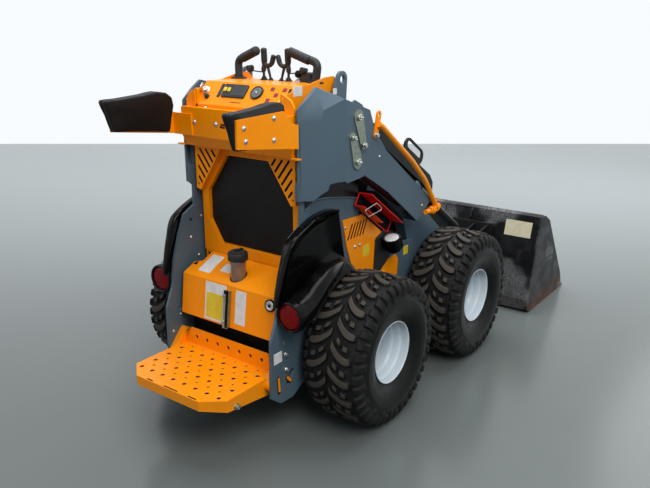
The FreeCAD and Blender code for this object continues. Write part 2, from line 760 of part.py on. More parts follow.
def side_pad(name, side):
    """A hip pad on the inner face of its bracket plate, raked at its rear end."""
    low, high = ordered(side, size.pad_y - size.pad_thick, size.pad_y)
    rear, front = size.pad_rear_x, size.pad_front_x
    outline = [(rear + 42, size.pad_low), (front + 10, size.pad_low - 31),
               (front + 24, size.pad_top - 34), (front - 18, size.pad_top + 6),
               (front - 66, size.pad_top + 12), (rear, size.pad_top)]
    piece = Piece(name).pad("side", low, high, outline)
    piece.round("side", [outline[index] for index in (2, 3, 4)], 30)
    piece.round("side", [outline[index] for index in (0, 1, 5)], 12)
    return piece


def knee_outline(grow):
    """The knee panel's eight corners, set out by an even margin."""
    half = size.knee_half + grow
    top, low = size.knee_top + grow, size.knee_low - grow
    right = [(half * 0.51, top), (half, top - 148), (half, low + 92), (half * 0.73, low)]
    return right + [(-across, up) for across, up in reversed(right)]


def knee_panel():
    """The padded knee panel, an octagon in the shroud's window."""
    rear = size.shroud_x + 12
    return Piece("knee_panel").pad("rear", rear, rear + 14, knee_outline(0))


def rear_shroud():
    """The sheet around the knee panel, with a raised slotted vent box in each upper corner."""
    half = size.frame_half - 14
    sheet_x = size.shroud_x
    skin = size.shroud_thick
    top, foot = size.beam_low - 0.3, size.tank_high + 0.3
    piece = Piece("rear_shroud").pad("rear", sheet_x, sheet_x + skin, box(-half, half, foot, top))
    piece.pad("rear", sheet_x, sheet_x + size.knee_rim, knee_outline(5))
    piece.cut("rear", sheet_x, sheet_x + size.knee_rim, knee_outline(0.3))
    raised = sheet_x - size.vent_depth
    for side in (1, -1):
        piece.pad("rear", raised, sheet_x + 1, vent_corner(side, 0))
        piece.cut("rear", raised + skin, sheet_x + skin, vent_corner(side, skin))
        piece.cut("rear", raised, raised + skin, *vent_slots(side))
    return piece


def vent_corner(side, inset):
    """One vent box in rear view, inside the shroud's corner and along the window's edge."""
    half = size.frame_half - 14 - inset
    top = size.beam_low - 0.3 - inset
    return [(across * side, up) for across, up in
            ((half, top), (half, size.knee_top - 138 + inset * 0.4),
             (half - 22 + inset * 0.4, size.knee_top - 144 + inset),
             (size.knee_half * 0.51 + 6 + inset * 1.2, size.knee_top + 20),
             (size.knee_half * 0.51 + 6 + inset * 1.2, top))]


def vent_slots(side):
    """Slanted slots that run from the window's edge out to the corner's two sides."""
    slots = []
    for row in range(6):
        part = 0.16 + 0.145 * row
        across = size.knee_half * (0.51 + 0.49 * part) + 17
        up = size.knee_top - 148 * part + 20
        run = least((size.beam_low - 17 - up) / 0.8, (size.frame_half - 31 - across) / 0.6)
        slots.append(link((across * side, up), 3.5,
                          ((across + run * 0.6) * side, up + run * 0.8)))
    return slots


def tank_cover():
    """The folded cover over the tank: a notch at its left, a lock hole at its right."""
    skin = size.tank_sheet
    rear, edge = size.tank_rear_x, size.tank_edge
    front = size.shroud_x + size.shroud_thick
    half = size.tank_half
    piece = Piece("tank_cover")
    piece.pad("side", -half, half,
              [(rear, edge), (front, size.tank_high), (front, size.tank_low),
               (rear - size.tank_lean, size.tank_low)])
    piece.cut("side", -half + skin, half - skin,
              [(rear + skin, edge - skin), (front + 1, size.tank_high - skin),
               (front + 1, size.tank_low - 1), (rear - size.tank_lean + skin, size.tank_low - 1)])
    piece.cut("plan", edge - 20, size.tank_high,
              disc(size.neck_x, size.neck_y, size.neck_radius + 9),
              [(front - 75, half + 1), (front - 60, half - 34), (front - 6, half - 34),
               (front - 6, half + 1)])
    piece.cut("rear", rear - size.tank_lean, rear + skin,
              disc(-size.neck_y - 0.44 * size.tank_half * 2, edge - 27, 11))
    return piece


def fuel_tank():
    """The fuel tank under its cover, with the filler tube and screw cap that stand out of it."""
    piece = Piece("fuel_tank")
    x, y, top = size.neck_x, size.neck_y, size.neck_high
    floor, roof = size.bay_top + 0.3, size.tank_edge - 30
    piece.pad("side", -size.tank_half + 60, size.tank_half - 60,
              [(size.tank_rear_x + 16, floor), (size.shroud_x + 10, floor),
               (size.shroud_x + 10, roof + 30), (size.shroud_x - 20, roof + 30),
               (size.tank_rear_x + 20, roof)])
    piece.pad("plan", roof - 10, top, disc(x, y, size.neck_radius))
    piece.pad("plan", top, top + 28, disc(x, y, size.neck_radius + 9))
    return piece


def tank_latch():
    """The upright latch strap on the cover's rear face."""
    foot, head = size.tank_low + 4, size.tank_edge - 20
    lean = size.tank_lean / (size.tank_edge - size.tank_low)

    def face(z, away):
        return (size.tank_rear_x - (size.tank_edge - z) * lean - away, z)

    return Piece("tank_latch").pad(
        "side", -18, 8, [face(foot, 0.3), face(head, 0.3), face(head + 4, 14), face(foot - 6, 14)])


def deck_plan(inset):
    """The foot deck in plan, with clipped rear corners, drawn in by an even margin."""
    half, corner = size.deck_half - inset, size.deck_corner
    rear, front = size.deck_rear_x + inset, size.deck_front_x - inset
    left = [(front, half), (rear + corner - inset * 0.6, half), (rear, half - corner - 15)]
    return left + [(along, -across) for along, across in reversed(left)]


def platform():
    """The folding foot deck: a flanged plate pierced for grip, with a kick flange and ears."""
    half, top, skin = size.deck_half, size.deck_top, size.deck_thick
    rear, front = size.deck_rear_x, size.deck_front_x
    low = top - size.deck_skirt
    piece = Piece("platform").pad("plan", low, top, deck_plan(0))
    piece.cut("plan", low, top - skin, deck_plan(skin))
    piece.cut("side", -half - 1, half + 1,
              [(rear - 1, low - 1), (front + 1, low - 1), (rear - 1, low + 38)])
    pitch_x, pitch_y = size.hole_pitch_x, size.hole_pitch_y
    first = rear + 58
    for row in range(4):
        x = first + pitch_x * row
        piece.cut("plan", top - skin, top,
                  *[disc(x, pitch_y * (column - 3.5), size.hole_radius) for column in range(8)])
        piece.cut("plan", top - skin, top,
                  *[disc(x + pitch_x / 2, pitch_y * (column - 3), size.hole_radius * 0.55)
                    for column in range(7)])
    piece.cut("plan", top - skin, top,
              *[link((rear + 7, y), 2.5, (rear + 7, y + long)) for y, long in
                ((82, 26), (-47, 66), (-140, 36))])
    kick = half - 34
    piece.pad("rear", front - skin, front,
              [(-half, top - 1), (half, top - 1), (half - 4, top + 8), (kick, size.kick_top),
               (-kick, size.kick_top), (-half + 4, top + 8)])
    piece.cut("rear", front - skin, front,
              *[disc(pitch_y * (column - 3), top + 34, size.hole_radius) for column in range(7)])
    for low_y, high_y in sides(half - skin, size.frame_half - 0.3):
        piece.pad("side", low_y, high_y,
                  link((size.fold_x, size.fold_z), 24, (front + 4, top + 42), 15))
        piece.cut("side", low_y, high_y, disc(front + 4, top + 42, 6))
    return piece


def fender(name, side):
    """A moulded inner guard: side panel with a rim, tyre shelf and tail-light horn."""
    inner = cheek_face()
    axle = -size.wheelbase / 2
    reach = size.tyre_radius + size.fender_gap
    wall = size.fender_wall
    low, high = ordered(side, inner, inner + wall)
    rear = size.side_rear_x
    guard = [(axle - reach * 0.96, size.tyre_radius + reach * 0.28),
             (axle - reach * 0.8, size.tyre_radius + reach * 0.6),
             (axle - reach * 0.55, size.tyre_radius + reach * 0.835),
             (axle - reach * 0.28, size.tyre_radius + reach * 0.96),
             (axle - reach * 0.05, size.tyre_radius + reach)]
    back = [(axle, size.side_step - 20), (axle - 110, size.side_step + 30),
            (axle - 210, size.side_step + 14), (rear + 90, size.side_step - 40),
            (rear + 52, size.side_step - 120), (rear + 24, size.side_step - 214),
            (rear + 6, size.side_step - 300)]
    piece = Piece(name).pad("side", low, high, guard + back)
    rim = [(across + 8, up - 12) for across, up in reversed(back)]
    low, high = ordered(side, inner + wall, inner + 34)
    piece.pad("side", low, high, back + rim)
    shelf = [(across + (-4 if index < 2 else 0), up + wall)
             for index, (across, up) in enumerate(guard)]
    low, high = ordered(side, inner + wall, inner + size.fender_wide)
    piece.pad("side", low, high, guard + list(reversed(shelf)))
    centre = (lamp_middle() * side, size.lamp_z)
    piece.pad("rear", size.lamp_x + 6, size.lamp_x + 96, disc(*centre, size.lamp_radius + size.lamp_rim))
    piece.cut("rear", size.lamp_x, size.lamp_x + size.lamp_deep,
              disc(*centre, size.lamp_radius + 0.3))
    return piece


def tail_lights():
    """The two round tail lights, each a lens in a horn that runs forwards to its fender."""
    piece = Piece("tail_lights")
    for side in (1, -1):
        piece.pad("rear", size.lamp_x, size.lamp_x + size.lamp_deep - 0.3,
                  disc(lamp_middle() * side, size.lamp_z, size.lamp_radius))
    return piece


def side_vents():
    """The slotted panels ahead of the rear fenders, seated on the cheeks."""
    piece = Piece("side_vents")
    inner = cheek_face()
    top = size.side_step - 38
    axle = -size.wheelbase / 2
    rear, front = axle + 47, -112
    outline = [(axle + 12, top + 4), (-215, top - 3), (-70, top - 110), (front, top - 175),
               (front + 4, top - 300), (axle + 82, top - 208), (rear, top - 125)]
    pitch = (front - rear) / 10
    slots = [link((rear + 2 + pitch * row, top - 82), 3, (rear + 30 + pitch * row, top - 26))
             for row in range(6)]
    for low, high in sides(inner, inner + size.vent_thick):
        piece.pad("side", low, high, outline)
        piece.cut("side", low, high, *slots)
    return piece


def work_lights():
    """The two round marker lights, tilted back on their brackets outside the cheeks."""
    piece = Piece("work_lights")
    inner = cheek_face()
    out = inner + size.work_out
    radius = size.work_radius
    for low, high in sides(inner, out - radius + 14):
        piece.pad("side", low, high, link((0, -22), 18, (16, -70), 14))
    for side in (1, -1):
        spot = (0, out * side)
        piece.pad("plan", -50, 0, disc(*spot, radius))
        piece.pad("plan", -66, -49, disc(*spot, radius - 12))
        piece.cut("plan", -4, 0, disc(*spot, radius - 5))
    return piece.place(size.work_x, 0, size.work_z, size.work_tilt)


# ---------------------------------------------------------------- wheels

def wheel_motors():
    """The four hydraulic wheel motors with their hub flanges, outside the cheeks."""
    piece = Piece("wheel_motors")
    inner = size.frame_half + size.plate_thick
    face = wheel_middle() + size.disc_offset
    for low, high in sides(inner, inner + 60):
        for x in (size.wheelbase / 2, -size.wheelbase / 2):
            piece.pad("side", low, high, disc(x, size.tyre_radius, size.motor_radius))
    for low, high in sides(inner + 60, face + size.rim_wall + 10):
        for x in (size.wheelbase / 2, -size.wheelbase / 2):
            piece.pad("side", low, high, disc(x, size.tyre_radius, size.hub_radius))
    for low, high in sides(face - 14, face - 0.3):
        for x in (size.wheelbase / 2, -size.wheelbase / 2):
            piece.pad("side", low, high, disc(x, size.tyre_radius, size.hub_radius + 24))
    return piece


def rim_profile():
    """Half-section of a rim, outer side at +across: flanges, drop centre and disc."""
    half, wall, radius = size.rim_width / 2, size.rim_wall, size.rim_radius
    face = size.disc_offset
    return [(-half, radius + 9), (-half, radius - wall), (-half * 0.45, radius - 24 - wall),
            (face - 14, radius - 24 - wall), (face, radius - 44), (face, size.hub_bore),
            (face + wall, size.hub_bore), (face + wall, radius - 40),
            (face + 20, radius - 24 - wall), (half, radius - wall), (half, radius + 9),
            (half - 9, radius), (half - 32, radius), (half * 0.45, radius - 24),
            (-half * 0.45, radius - 24), (-half + 32, radius), (-half + 9, radius)]


def tyre_profile():
    """Half-section of a tyre: beads, bulged side walls and a flat crown."""
    half, tread = size.tyre_width / 2, size.tread_width / 2
    bead, radius = size.rim_radius + 0.2, size.tyre_radius
    seat = size.rim_width / 2
    right = [(seat - 12, bead), (seat - 1, bead + 10), (seat + 12, bead + 24),
             (half, bead + 62), (half, bead + 84), (half - 5, radius - 34),
             (tread, radius - 6), (tread - 34, radius)]
    inner = [(half - 16, bead + 76), (seat - 6, bead + 30), (seat - 24, bead)]
    ring = [(-seat + 24, bead), (-seat + 6, bead + 30), (-half + 16, bead + 76),
            (-tread + 10, radius - 26), (tread - 10, radius - 26)]
    return right + [(-across, up) for across, up in reversed(right)] + ring + inner


def wheel(name, side, along):
    """One rim and its tyre, with the disc's face turned outwards."""
    made = []
    for kind, profile in (("rim", rim_profile()), ("tyre", tyre_profile())):
        if side < 0:
            profile = [(-across, up) for across, up in profile]
        piece = Piece("%s_%s" % (kind, name)).turn(profile)
        piece.place(size.wheelbase / 2 * along, wheel_middle() * side, size.tyre_radius)
        made.append(piece)
    return made


# ---------------------------------------------------------------- boom

def boom_frame():
    """The welded boom: two inverted channels, two front legs and a cross tube."""
    px, pz = size.pivot_x, size.pivot_z
    fx, fz = size.boom_front_x, size.boom_front_z
    lx, lz = size.leg_low_x, size.leg_low_z
    boss = size.boom_boss
    low_front = (fx - 116, fz - 71)
    arm = [(px - boss * 0.74, pz - boss * 0.67), (px - boss, pz + 4), (px - boss * 0.6, pz + 48),
           (px, pz + boss), (px + boss * 0.74, pz + boss * 0.67),
           (fx - 386, fz + 275), (fx, fz), low_front, (fx - 361, fz + 103),
           (fx - 457, fz + 158), (fx - 527, fz + 196)]
    piece = Piece("boom_frame")
    for low, high in sides(size.boom_inner, size.boom_half):
        piece.pad("side", low, high, arm)
    wall = size.boom_wall
    cavity = [(px - 90, pz - 200), (px - 90, pz + 80), (px + 70, pz + 80), (px + 160, pz - 45),
              (fx - 386 - 4, fz + 275 - 12), (fx - 20, fz + 6), low_front,
              (low_front[0] - 20, low_front[1] - 60)]
    for low, high in sides(size.boom_inner + wall, size.boom_half - wall):
        piece.cut("side", low, high, cavity)
        piece.pad("side", low, high, disc(px, pz, size.pin_radius + 12))
    for low, high in sides(size.boom_inner, size.boom_half):
        piece.cut("side", low, high, disc(px, pz, size.pin_radius + size.pin_gap))
    for low, high in sides(size.leg_half - 6, size.boom_inner + 1):
        piece.pad("side", low, high,
                  [(fx - 240, fz + 168), (fx - 130, fz + 92), (fx, fz), low_front,
                   (fx - 200, fz + 0), (fx - 300, fz + 80)])
    drop = (size.hitch_x - lx) * 0.7
    leg = [(lx, lz), (size.hitch_x - 30, lz - drop - 8), (size.hitch_x + 20, lz - drop + 12),
           (size.hitch_x + 48, size.hitch_z + 20), (size.hitch_x + 10, size.hitch_z + 70),
           (lx + 206, lz + 41 + 30), (fx + 40, fz - 40), (fx, fz), (fx - 130, fz + 92),
           (fx - 240, fz + 168), (fx - 300, fz + 80), (lx - 60, lz + 150)]
    for low, high in sides(size.leg_inner, size.leg_half):
        piece.pad("side", low, high, leg)
    for low, high in sides(size.leg_inner, size.leg_half):
        piece.cut("side", low, high, disc(size.hitch_x, size.hitch_z, size.pin_radius))
        piece.pad("side", low, high,
                  [(fx - 20, fz - 10), (fx + 70, fz - 60), (size.tilt_base_x + 24,
                   size.tilt_base_z), (size.tilt_base_x, size.tilt_base_z + 24),
                   (size.tilt_base_x - 24, size.tilt_base_z + 4)])
        piece.cut("side", low + 12, high - 12,
                  disc(size.tilt_base_x, size.tilt_base_z, size.barrel_radius + 20))
        piece.pad("side", low, high, disc(size.tilt_base_x, size.tilt_base_z, size.small_pin))
    piece.pad("side", -size.leg_inner - 1, size.leg_inner + 1,
              disc(size.cross_x, size.cross_z, size.cross_radius))
    return piece


def hose_guards():
    """The bent tubes that guard the hoses over the arms, each with its eyed rear bracket."""
    fx, fz = size.boom_front_x, size.boom_front_z
    rear_x, rear_z = size.guard_x, size.guard_z
    guards = []
    for side in (1, -1):
        y = (size.boom_half + size.guard_radius + 0.2) * side
        path = [point(rear_x, y, rear_z), point(rear_x + 22, y, rear_z - 10),
                point(fx - 200, y, fz + 203), point(fx - 86, y, fz + 106),
                point(fx + 40, y, fz - 46), point(fx - 66, y, fz - 40)]
        tube = bar(path, 16, SIZES["guard_radius"])
        face = SIZES["boom_half"] + 0.2
        lug = link_solid(point(rear_x - 8, 0, rear_z - 40), point(rear_x + 10, 0, rear_z + 34),
                         13, 15, face, face + 6, side)
        eye = Part.makeCylinder(7, 20, point(rear_x + 10, (face - 5) * side, rear_z + 34),
                                Vector(0, side, 0))
        guards.append(tube.fuse(lug).cut(eye).removeSplitter())
    return ShapePiece("hose_guards", Part.makeCompound(guards))


def safety_lock():
    """The red channel stowed under the right arm, which props the boom when fitted."""
    piece = Piece("safety_lock")
    inner, outer = size.boom_inner, size.boom_half - 4
    head, tail = (size.lock_x, size.lock_z), (size.lock_x + 250, size.lock_z - 152)
    web = [head, (size.boom_front_x - 361, size.boom_front_z + 102.5),
           (tail[0] + 6, tail[1] + 26), tail, (tail[0] + 4, tail[1] - 42),
           (head[0] + 108, head[1] - 142), (head[0] + 19, head[1] - 80), (head[0] - 6, head[1] - 60)]
    piece.pad("side", -inner - 6, -inner, web)
    piece.pad("side", -outer, -inner - 5,
              [head, tail, (tail[0] - 3, tail[1] - 5), (head[0] - 3, head[1] - 5)])
    piece.pad("side", -outer, -inner - 5,
              [(head[0] + 19, head[1] - 80), (head[0] + 108, head[1] - 142),
               (head[0] + 111, head[1] - 137), (head[0] + 22, head[1] - 75)])
    return piece


def cylinder_pair(name, x, z, dx, dz, spans, pin, rod, visible, out, back):
    """Two hydraulic cylinders from one pin towards another, as bored barrels and their rods.

    visible is the rod's length in the open as the machine stands; out and back are how far
    it runs from there, which set how deep it reaches in its bore.
    """
    reach = span_length(dx, dz)
    mouth = reach - visible
    foot = mouth - out - 40
    eye = pin + 12
    barrels = Piece(name + "_barrels")
    rods = Piece(name + "_rods")
    for low, high in spans:
        middle = (low + high) / 2
        barrels.pad("side", low, high, disc(0, 0, eye))
        barrels.pad("rear", eye * 0.7, eye + 30, disc(middle, 0, (high - low) / 2 - 1.5))
        barrels.pad("rear", eye + 27, mouth, disc(middle, 0, size.barrel_radius))
        barrels.cut("rear", foot - back - 10, mouth, disc(middle, 0, rod + size.pin_gap))
        barrels.cut("side", low, high, disc(0, 0, pin + size.pin_gap))
        rods.pad("side", low, high, disc(reach, 0, size.eye_outer))
        rods.pad("rear", foot, reach - 14, disc(middle, 0, rod))
    for piece in (barrels, rods):
        piece.place(x, 0, z, slope_angle(dx, dz))


def lift_cylinders():
    """The lift cylinders, from their tower pins to the eyes inside the boom's channels."""
    cylinder_pair("lift_cylinder", size.lift_pin_x, size.lift_pin_z,
                  size.lift_eye_x - size.lift_pin_x, size.lift_eye_z - size.lift_pin_z,
                  sides(size.boom_inner + 11, size.boom_half - 11), size.pin_radius,
                  size.rod_radius, 110, size.lift_stroke, 0)


def tilt_cylinders():
    """The tilt cylinders, from the boom's ears to the ears of the quick hitch."""
    cylinder_pair("tilt_cylinder", size.tilt_base_x, size.tilt_base_z,
                  size.hitch_x + size.tilt_eye_dx - size.tilt_base_x,
                  size.hitch_z + size.tilt_eye_dz - size.tilt_base_z,
                  sides(size.leg_inner + 12.5, size.leg_half - 12.5), size.small_pin,
                  size.rod_radius - 3, 200, size.tilt_out, size.tilt_back)


def quick_hitch():
    """The tool plate with its boom pins and tilt ears."""
    piece = Piece("quick_hitch")
    rise = (size.bucket_top - size.bucket_heel)
    lean = (size.bucket_top_x - size.bucket_rear_x) / rise
    foot = size.bucket_heel + 6
    top = size.hitch_z + size.tilt_eye_dz + 60

    def back(z, away):
        return (size.bucket_rear_x + (z - size.bucket_heel) * lean - away, z)

    piece.pad("side", -size.hitch_half, size.hitch_half,
              [back(foot, 0.3), back(top, 0.3), back(top, size.hitch_thick),
               back(foot, size.hitch_thick)])
    hx, hz = size.hitch_x, size.hitch_z
    tx, tz = hx + size.tilt_eye_dx, hz + size.tilt_eye_dz
    ear = [back(foot + 10, 4), back(top - 10, 4), (tx - 24, tz + 20), (tx - 24, tz - 16),
           (hx - 34, hz + 12), (hx - 24, hz - 26), (hx + 6, hz - 36)]
    for low, high in sides(size.leg_half + 6, size.leg_half + 18):
        piece.pad("side", low, high, ear)
    for low, high in sides(size.leg_inner - 18, size.leg_inner - 6):
        piece.pad("side", low, high, ear)
    for low, high in sides(size.leg_inner - 8, size.leg_half + 8):
        piece.pad("side", low, high, disc(hx, hz, size.pin_radius - size.pin_gap))
    return piece


def bucket():
    """The general-purpose bucket: folded sheet, cheeks, a bolt-thick edge and rear ribs."""
    low, skin = size.bucket_lift, size.bucket_sheet
    rear, heel = size.bucket_rear_x, size.bucket_heel
    tip, top = size.bucket_tip_x, size.bucket_top
    half = size.bucket_half
    lip = size.bucket_top_x + 46
    outer = [(tip - 90, low), (rear + 60, low), (rear + 18, low + 14), (rear, heel),
             (size.bucket_top_x, top), (lip, top + 4), (lip, top + 4 - skin),
             (size.bucket_top_x + skin, top - skin), (rear + skin, heel + 2),
             (rear + 24, low + 22), (rear + 62, low + skin), (tip - 90, low + skin)]
    piece = Piece("bucket").pad("side", -half + skin, half - skin, outer)
    piece.pad("side", -half, half,
              [(tip, low), (tip - 120, low), (tip - 120, low + size.edge_thick),
               (tip - 26, low + size.edge_thick), (tip, low + 5)])
    cheek = [(tip - 34, low), (rear + 60, low), (rear + 18, low + 14), (rear, heel),
             (size.bucket_top_x, top), (size.bucket_top_x + 60, top - 2),
             (size.bucket_top_x + 130, top - 40), (tip - 60, low + 90), (tip - 34, low + 30)]
    for span in sides(half - skin, half):
        piece.pad("side", span[0], span[1], cheek)
    piece.round("side", [cheek[index] for index in (6, 7)], 40)
    lean = (size.bucket_top_x - rear) / (top - heel)
    crown = size.hitch_z + size.tilt_eye_dz + 70
    for middle in (-size.rib_half, 0, size.rib_half):
        piece.pad("side", middle - 5, middle + 5,
                  [(rear + (crown - heel) * lean, crown), (size.bucket_top_x, top),
                   (size.bucket_top_x - 14, top - 16),
                   (rear + (crown - heel) * lean - 14, crown + 10)])
    return piece


def build():
    """Make every sub-part."""
    main_frame()
    for name, side in SIDES:
        side_plate("side_plate_" + name, side)
        tower("tower_" + name, side)
        side_pad("side_pad_" + name, side)
        fender("fender_" + name, side)
        for end, along in (("front", 1), ("rear", -1)):
            wheel("%s_%s" % (end, name), side, along)
    for make in (pivot_pins, lift_eyes, engine_block, hood, engine_cover, console, cross_beam,
                 grab_handles, control_levers, pad_brackets, knee_panel, rear_shroud,
                 tank_cover, fuel_tank, tank_latch, platform, tail_lights, side_vents,
                 work_lights, wheel_motors, boom_frame, hose_guards, safety_lock,
                 lift_cylinders, tilt_cylinders, quick_hitch, bucket):
        make()


def check_and_write():
    """Recompute, refuse anything failed, empty or invalid, and write one file per sub-part."""
    doc.recompute()
    for item in doc.Objects:
        if "Invalid" in item.State or "Error" in item.State:
            raise ValueError("%s failed: %s" % (item.Label, item.State))
    os.makedirs("parts", exist_ok=True)
    for piece in pieces:
        shape = piece.body.Shape
        if shape.isNull() or not shape.isValid():
            raise ValueError("%s has no valid shape" % piece.label)
        shape.exportStep(os.path.join("parts", piece.body.Label + ".step"))
    print("%d sub-parts written" % len(pieces))


build()
check_and_write()
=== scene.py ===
"""Finishes and small fittings of a compact stand-on wheel loader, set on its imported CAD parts.

Everything is in metres: +X forwards to the bucket, +Y to the machine's left, +Z up.
"""

import json
import math
from functools import cached_property

import bmesh
import bpy
import numpy as np
from bpy.props import FloatProperty, FloatVectorProperty, IntProperty, PointerProperty
from mathutils import Matrix, Vector
from mathutils.bvhtree import BVHTree


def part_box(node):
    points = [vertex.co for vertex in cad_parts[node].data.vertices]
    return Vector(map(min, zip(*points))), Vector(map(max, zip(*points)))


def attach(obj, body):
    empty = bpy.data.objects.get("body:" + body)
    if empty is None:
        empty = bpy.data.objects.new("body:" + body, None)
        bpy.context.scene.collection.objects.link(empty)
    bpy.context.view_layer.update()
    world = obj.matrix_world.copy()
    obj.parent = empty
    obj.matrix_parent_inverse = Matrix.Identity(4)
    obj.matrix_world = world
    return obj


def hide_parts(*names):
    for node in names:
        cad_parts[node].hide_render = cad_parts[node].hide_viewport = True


bl_info = {
    "name": "Compact wheel loader fittings",
    "version": (1, 0, 0),
    "blender": (4, 5, 0),
    "location": "View3D > Sidebar > Loader",
    "description": "Finishes, tyres, pads, controls and fasteners of a compact wheel loader",
    "category": "Object",
}

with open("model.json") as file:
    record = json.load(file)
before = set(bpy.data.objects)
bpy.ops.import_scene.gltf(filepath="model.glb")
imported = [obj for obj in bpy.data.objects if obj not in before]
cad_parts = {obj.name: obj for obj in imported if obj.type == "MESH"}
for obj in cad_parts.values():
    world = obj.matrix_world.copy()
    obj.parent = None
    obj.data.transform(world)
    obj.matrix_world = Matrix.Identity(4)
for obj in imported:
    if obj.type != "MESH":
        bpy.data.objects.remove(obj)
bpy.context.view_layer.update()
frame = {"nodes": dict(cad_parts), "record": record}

LEFT, RIGHT = 1, -1
SIDES = (("left", LEFT), ("right", RIGHT))
WHEELS = [("%s_%s" % (end, name), side) for end in ("front", "rear") for name, side in SIDES]
TAU = 2 * math.pi
AHEAD, BACK, UP, DOWN = (1, 0, 0), (-1, 0, 0), (0, 0, 1), (0, 0, -1)
CHEEK_FACE = 0.2740  # outer faces of the side plates
LAMP_Y, LAMP_Z = 0.329, 0.515  # middle of each tail lamp
DECK_TOP = 0.262  # the foot platform's upper face
SHELF_TOP = 1.280  # the console's level shelf, under the handles and levers
LEVER_X = -0.650  # the plane across the machine that the levers stand in
FAR, BESIDE = 2.0, 0.9  # where rays start, outside the machine: along or above it, beside it

looks = {}


# ---------------------------------------------------------------- surfaces
def unit(vector):
    """Vectors along the last axis, each divided by its own length."""
    vector = np.asarray(vector, float)
    return vector / np.linalg.norm(vector, axis=-1, keepdims=True)


def ease(value):
    """0 below 0, 1 above 1 and a smooth cubic step between: 3 t squared minus 2 t cubed."""
    value = np.clip(value, 0, 1)
    return value * value * (3 - 2 * value)


def angles(count):
    """Evenly spaced angles once round, half a step off the axes."""
    return (np.arange(count) + 0.5) * TAU / count


def lengths(path):
    """How far along a path each of its points lies."""
    return np.concatenate([[0], np.cumsum(np.linalg.norm(np.diff(path, axis=0), axis=1))])


def at_lengths(path, length, at):
    """A path's points again, at given values of the length that goes with each point."""
    return np.stack([np.interp(at, length, path[:, axis]) for axis in range(path.shape[1])], -1)


def resample(outline, count):
    """A closed outline's points again, evenly spaced along its length."""
    closed = np.concatenate([outline, outline[:1]])
    length = lengths(closed)
    return at_lengths(closed, length, np.linspace(0, length[-1], count, endpoint=False))


def smooth_path(points, count=24, bend=0.35):
    """A path through points by Catmull-Rom cubics: each span keeps its ends' mean slopes."""
    points = np.asarray(points, float)
    full = np.concatenate([2 * points[:1] - points[1:2], points,
                           2 * points[-1:] - points[-2:-1]])
    start, before, after, last = full[:-3], full[1:-2], full[2:-1], full[3:]
    t = np.linspace(0, 1, count, endpoint=False)[None, :, None]
    low = ((after - start) * bend)[:, None]
    high = ((last - before) * bend)[:, None]
    gap = (after - before)[:, None]
    cubic = (before[:, None] + low * t + (3 * gap - 2 * low - high) * t ** 2
             + (low + high - 2 * gap) * t ** 3)
    return np.concatenate([cubic.reshape(-1, points.shape[1]), points[-1:]])


def round_oblong(width, height, corner, count=32):
    """The outline of a rectangle with round corners: each corner's middle plus a radius."""
    turn = angles(count)
    way = np.stack([np.cos(turn), np.sin(turn)], -1)
    corner = min(corner, width / 2, height / 2)
    middle = np.array([width / 2 - corner, height / 2 - corner])
    return np.sign(way) * middle + corner * way


def polygon_outline(corners, radius, count):
    """A closed outline with rounded corners: arcs of one radius joined by the straight sides.

    At each corner the arc's middle lies on the bisector; the arc turns by the corner's own
    angle in even steps, so that every outline of one polygon has the same number of points.
    """
    corners = np.asarray(corners, float)
    back = unit(np.roll(corners, 1, 0) - corners)
    ahead = unit(np.roll(corners, -1, 0) - corners)
    half = np.arccos(np.clip((back * ahead).sum(-1), -1, 1)) / 2
    middle = corners + unit(back + ahead) * (radius / np.sin(half))[:, None]
    run = (radius / np.tan(half))[:, None]
    first, last = corners + back * run - middle, corners + ahead * run - middle
    part = np.linspace(0, 1, count)[None, :, None]
    chord = unit(first[:, None] * (1 - part) + last[:, None] * part)
    return (middle[:, None] + radius * chord).reshape(-1, 2)


def outline_for(corners, seat):
    """World (x or -y, z) corners as the seat's own (across, up), running anticlockwise."""
    corners = np.asarray(corners, float) * (-1 if seat[1][0] < 0 else 1, 1)
    area = (corners[:, 0] * np.roll(corners[:, 1], -1)
            - np.roll(corners[:, 0], -1) * corners[:, 1]).sum()
    return corners if area > 0 else corners[::-1]


def drawn_in(outline, inset):
    """A closed outline moved inwards along its own normals."""
    along = unit(np.roll(outline, -1, 0) - np.roll(outline, 1, 0))
    return outline + inset * np.stack([-along[:, 1], along[:, 0]], -1)


# ---------------------------------------------------------------- places
def seat_frame(origin, out, up=UP):
    """A place on a surface: its origin, then unit ways across, up and outwards."""
    out = unit(out)
    up = np.asarray(up, float)
    up = unit(up - out * (up @ out))
    return np.asarray(origin, float), np.cross(up, out), up, out


def level_seat(x, y, z):
    """A place that faces up, its up way forwards."""
    return seat_frame((x, y, z), UP, AHEAD)


def flank_seat(side, y, x=0.0, z=0.0):
    """A place that faces out to one side."""
    return seat_frame((x, side * y, z), (0, side, 0))


def at_seat(points, seat):
    """Local points (across, up, out) carried to a place on a surface."""
    origin, across, up, out = seat
    return origin + points @ np.stack([across, up, out])


def turned(seat, degrees):
    """The same place with its across and up ways turned."""
    origin, across, up, out = seat
    c, s = math.cos(math.radians(degrees)), math.sin(math.radians(degrees))
    return origin, across * c + up * s, up * c - across * s, out


def moved(seat, across=0.0, up=0.0, out=0.0):
    """A place shifted along its own ways."""
    origin, right, top, away = seat
    return origin + right * across + top * up + away * out, right, top, away


trees = {}


def seat_on(node, start, way, up=UP):
    """A place on a CAD node's surface, where a ray from start first meets it."""
    if node not in trees:
        mesh = frame["nodes"][node].data
        trees[node] = BVHTree.FromPolygons([v.co for v in mesh.vertices],
                                           [p.vertices for p in mesh.polygons])
    point, normal, _, _ = trees[node].ray_cast(Vector(start), Vector(way))
    if point is None:
        raise RuntimeError("no surface of %s lies there: %s" % (node, tuple(start)))
    normal = np.array(normal)
    return seat_frame(point, normal if normal @ np.asarray(way, float) < 0 else -normal, up)


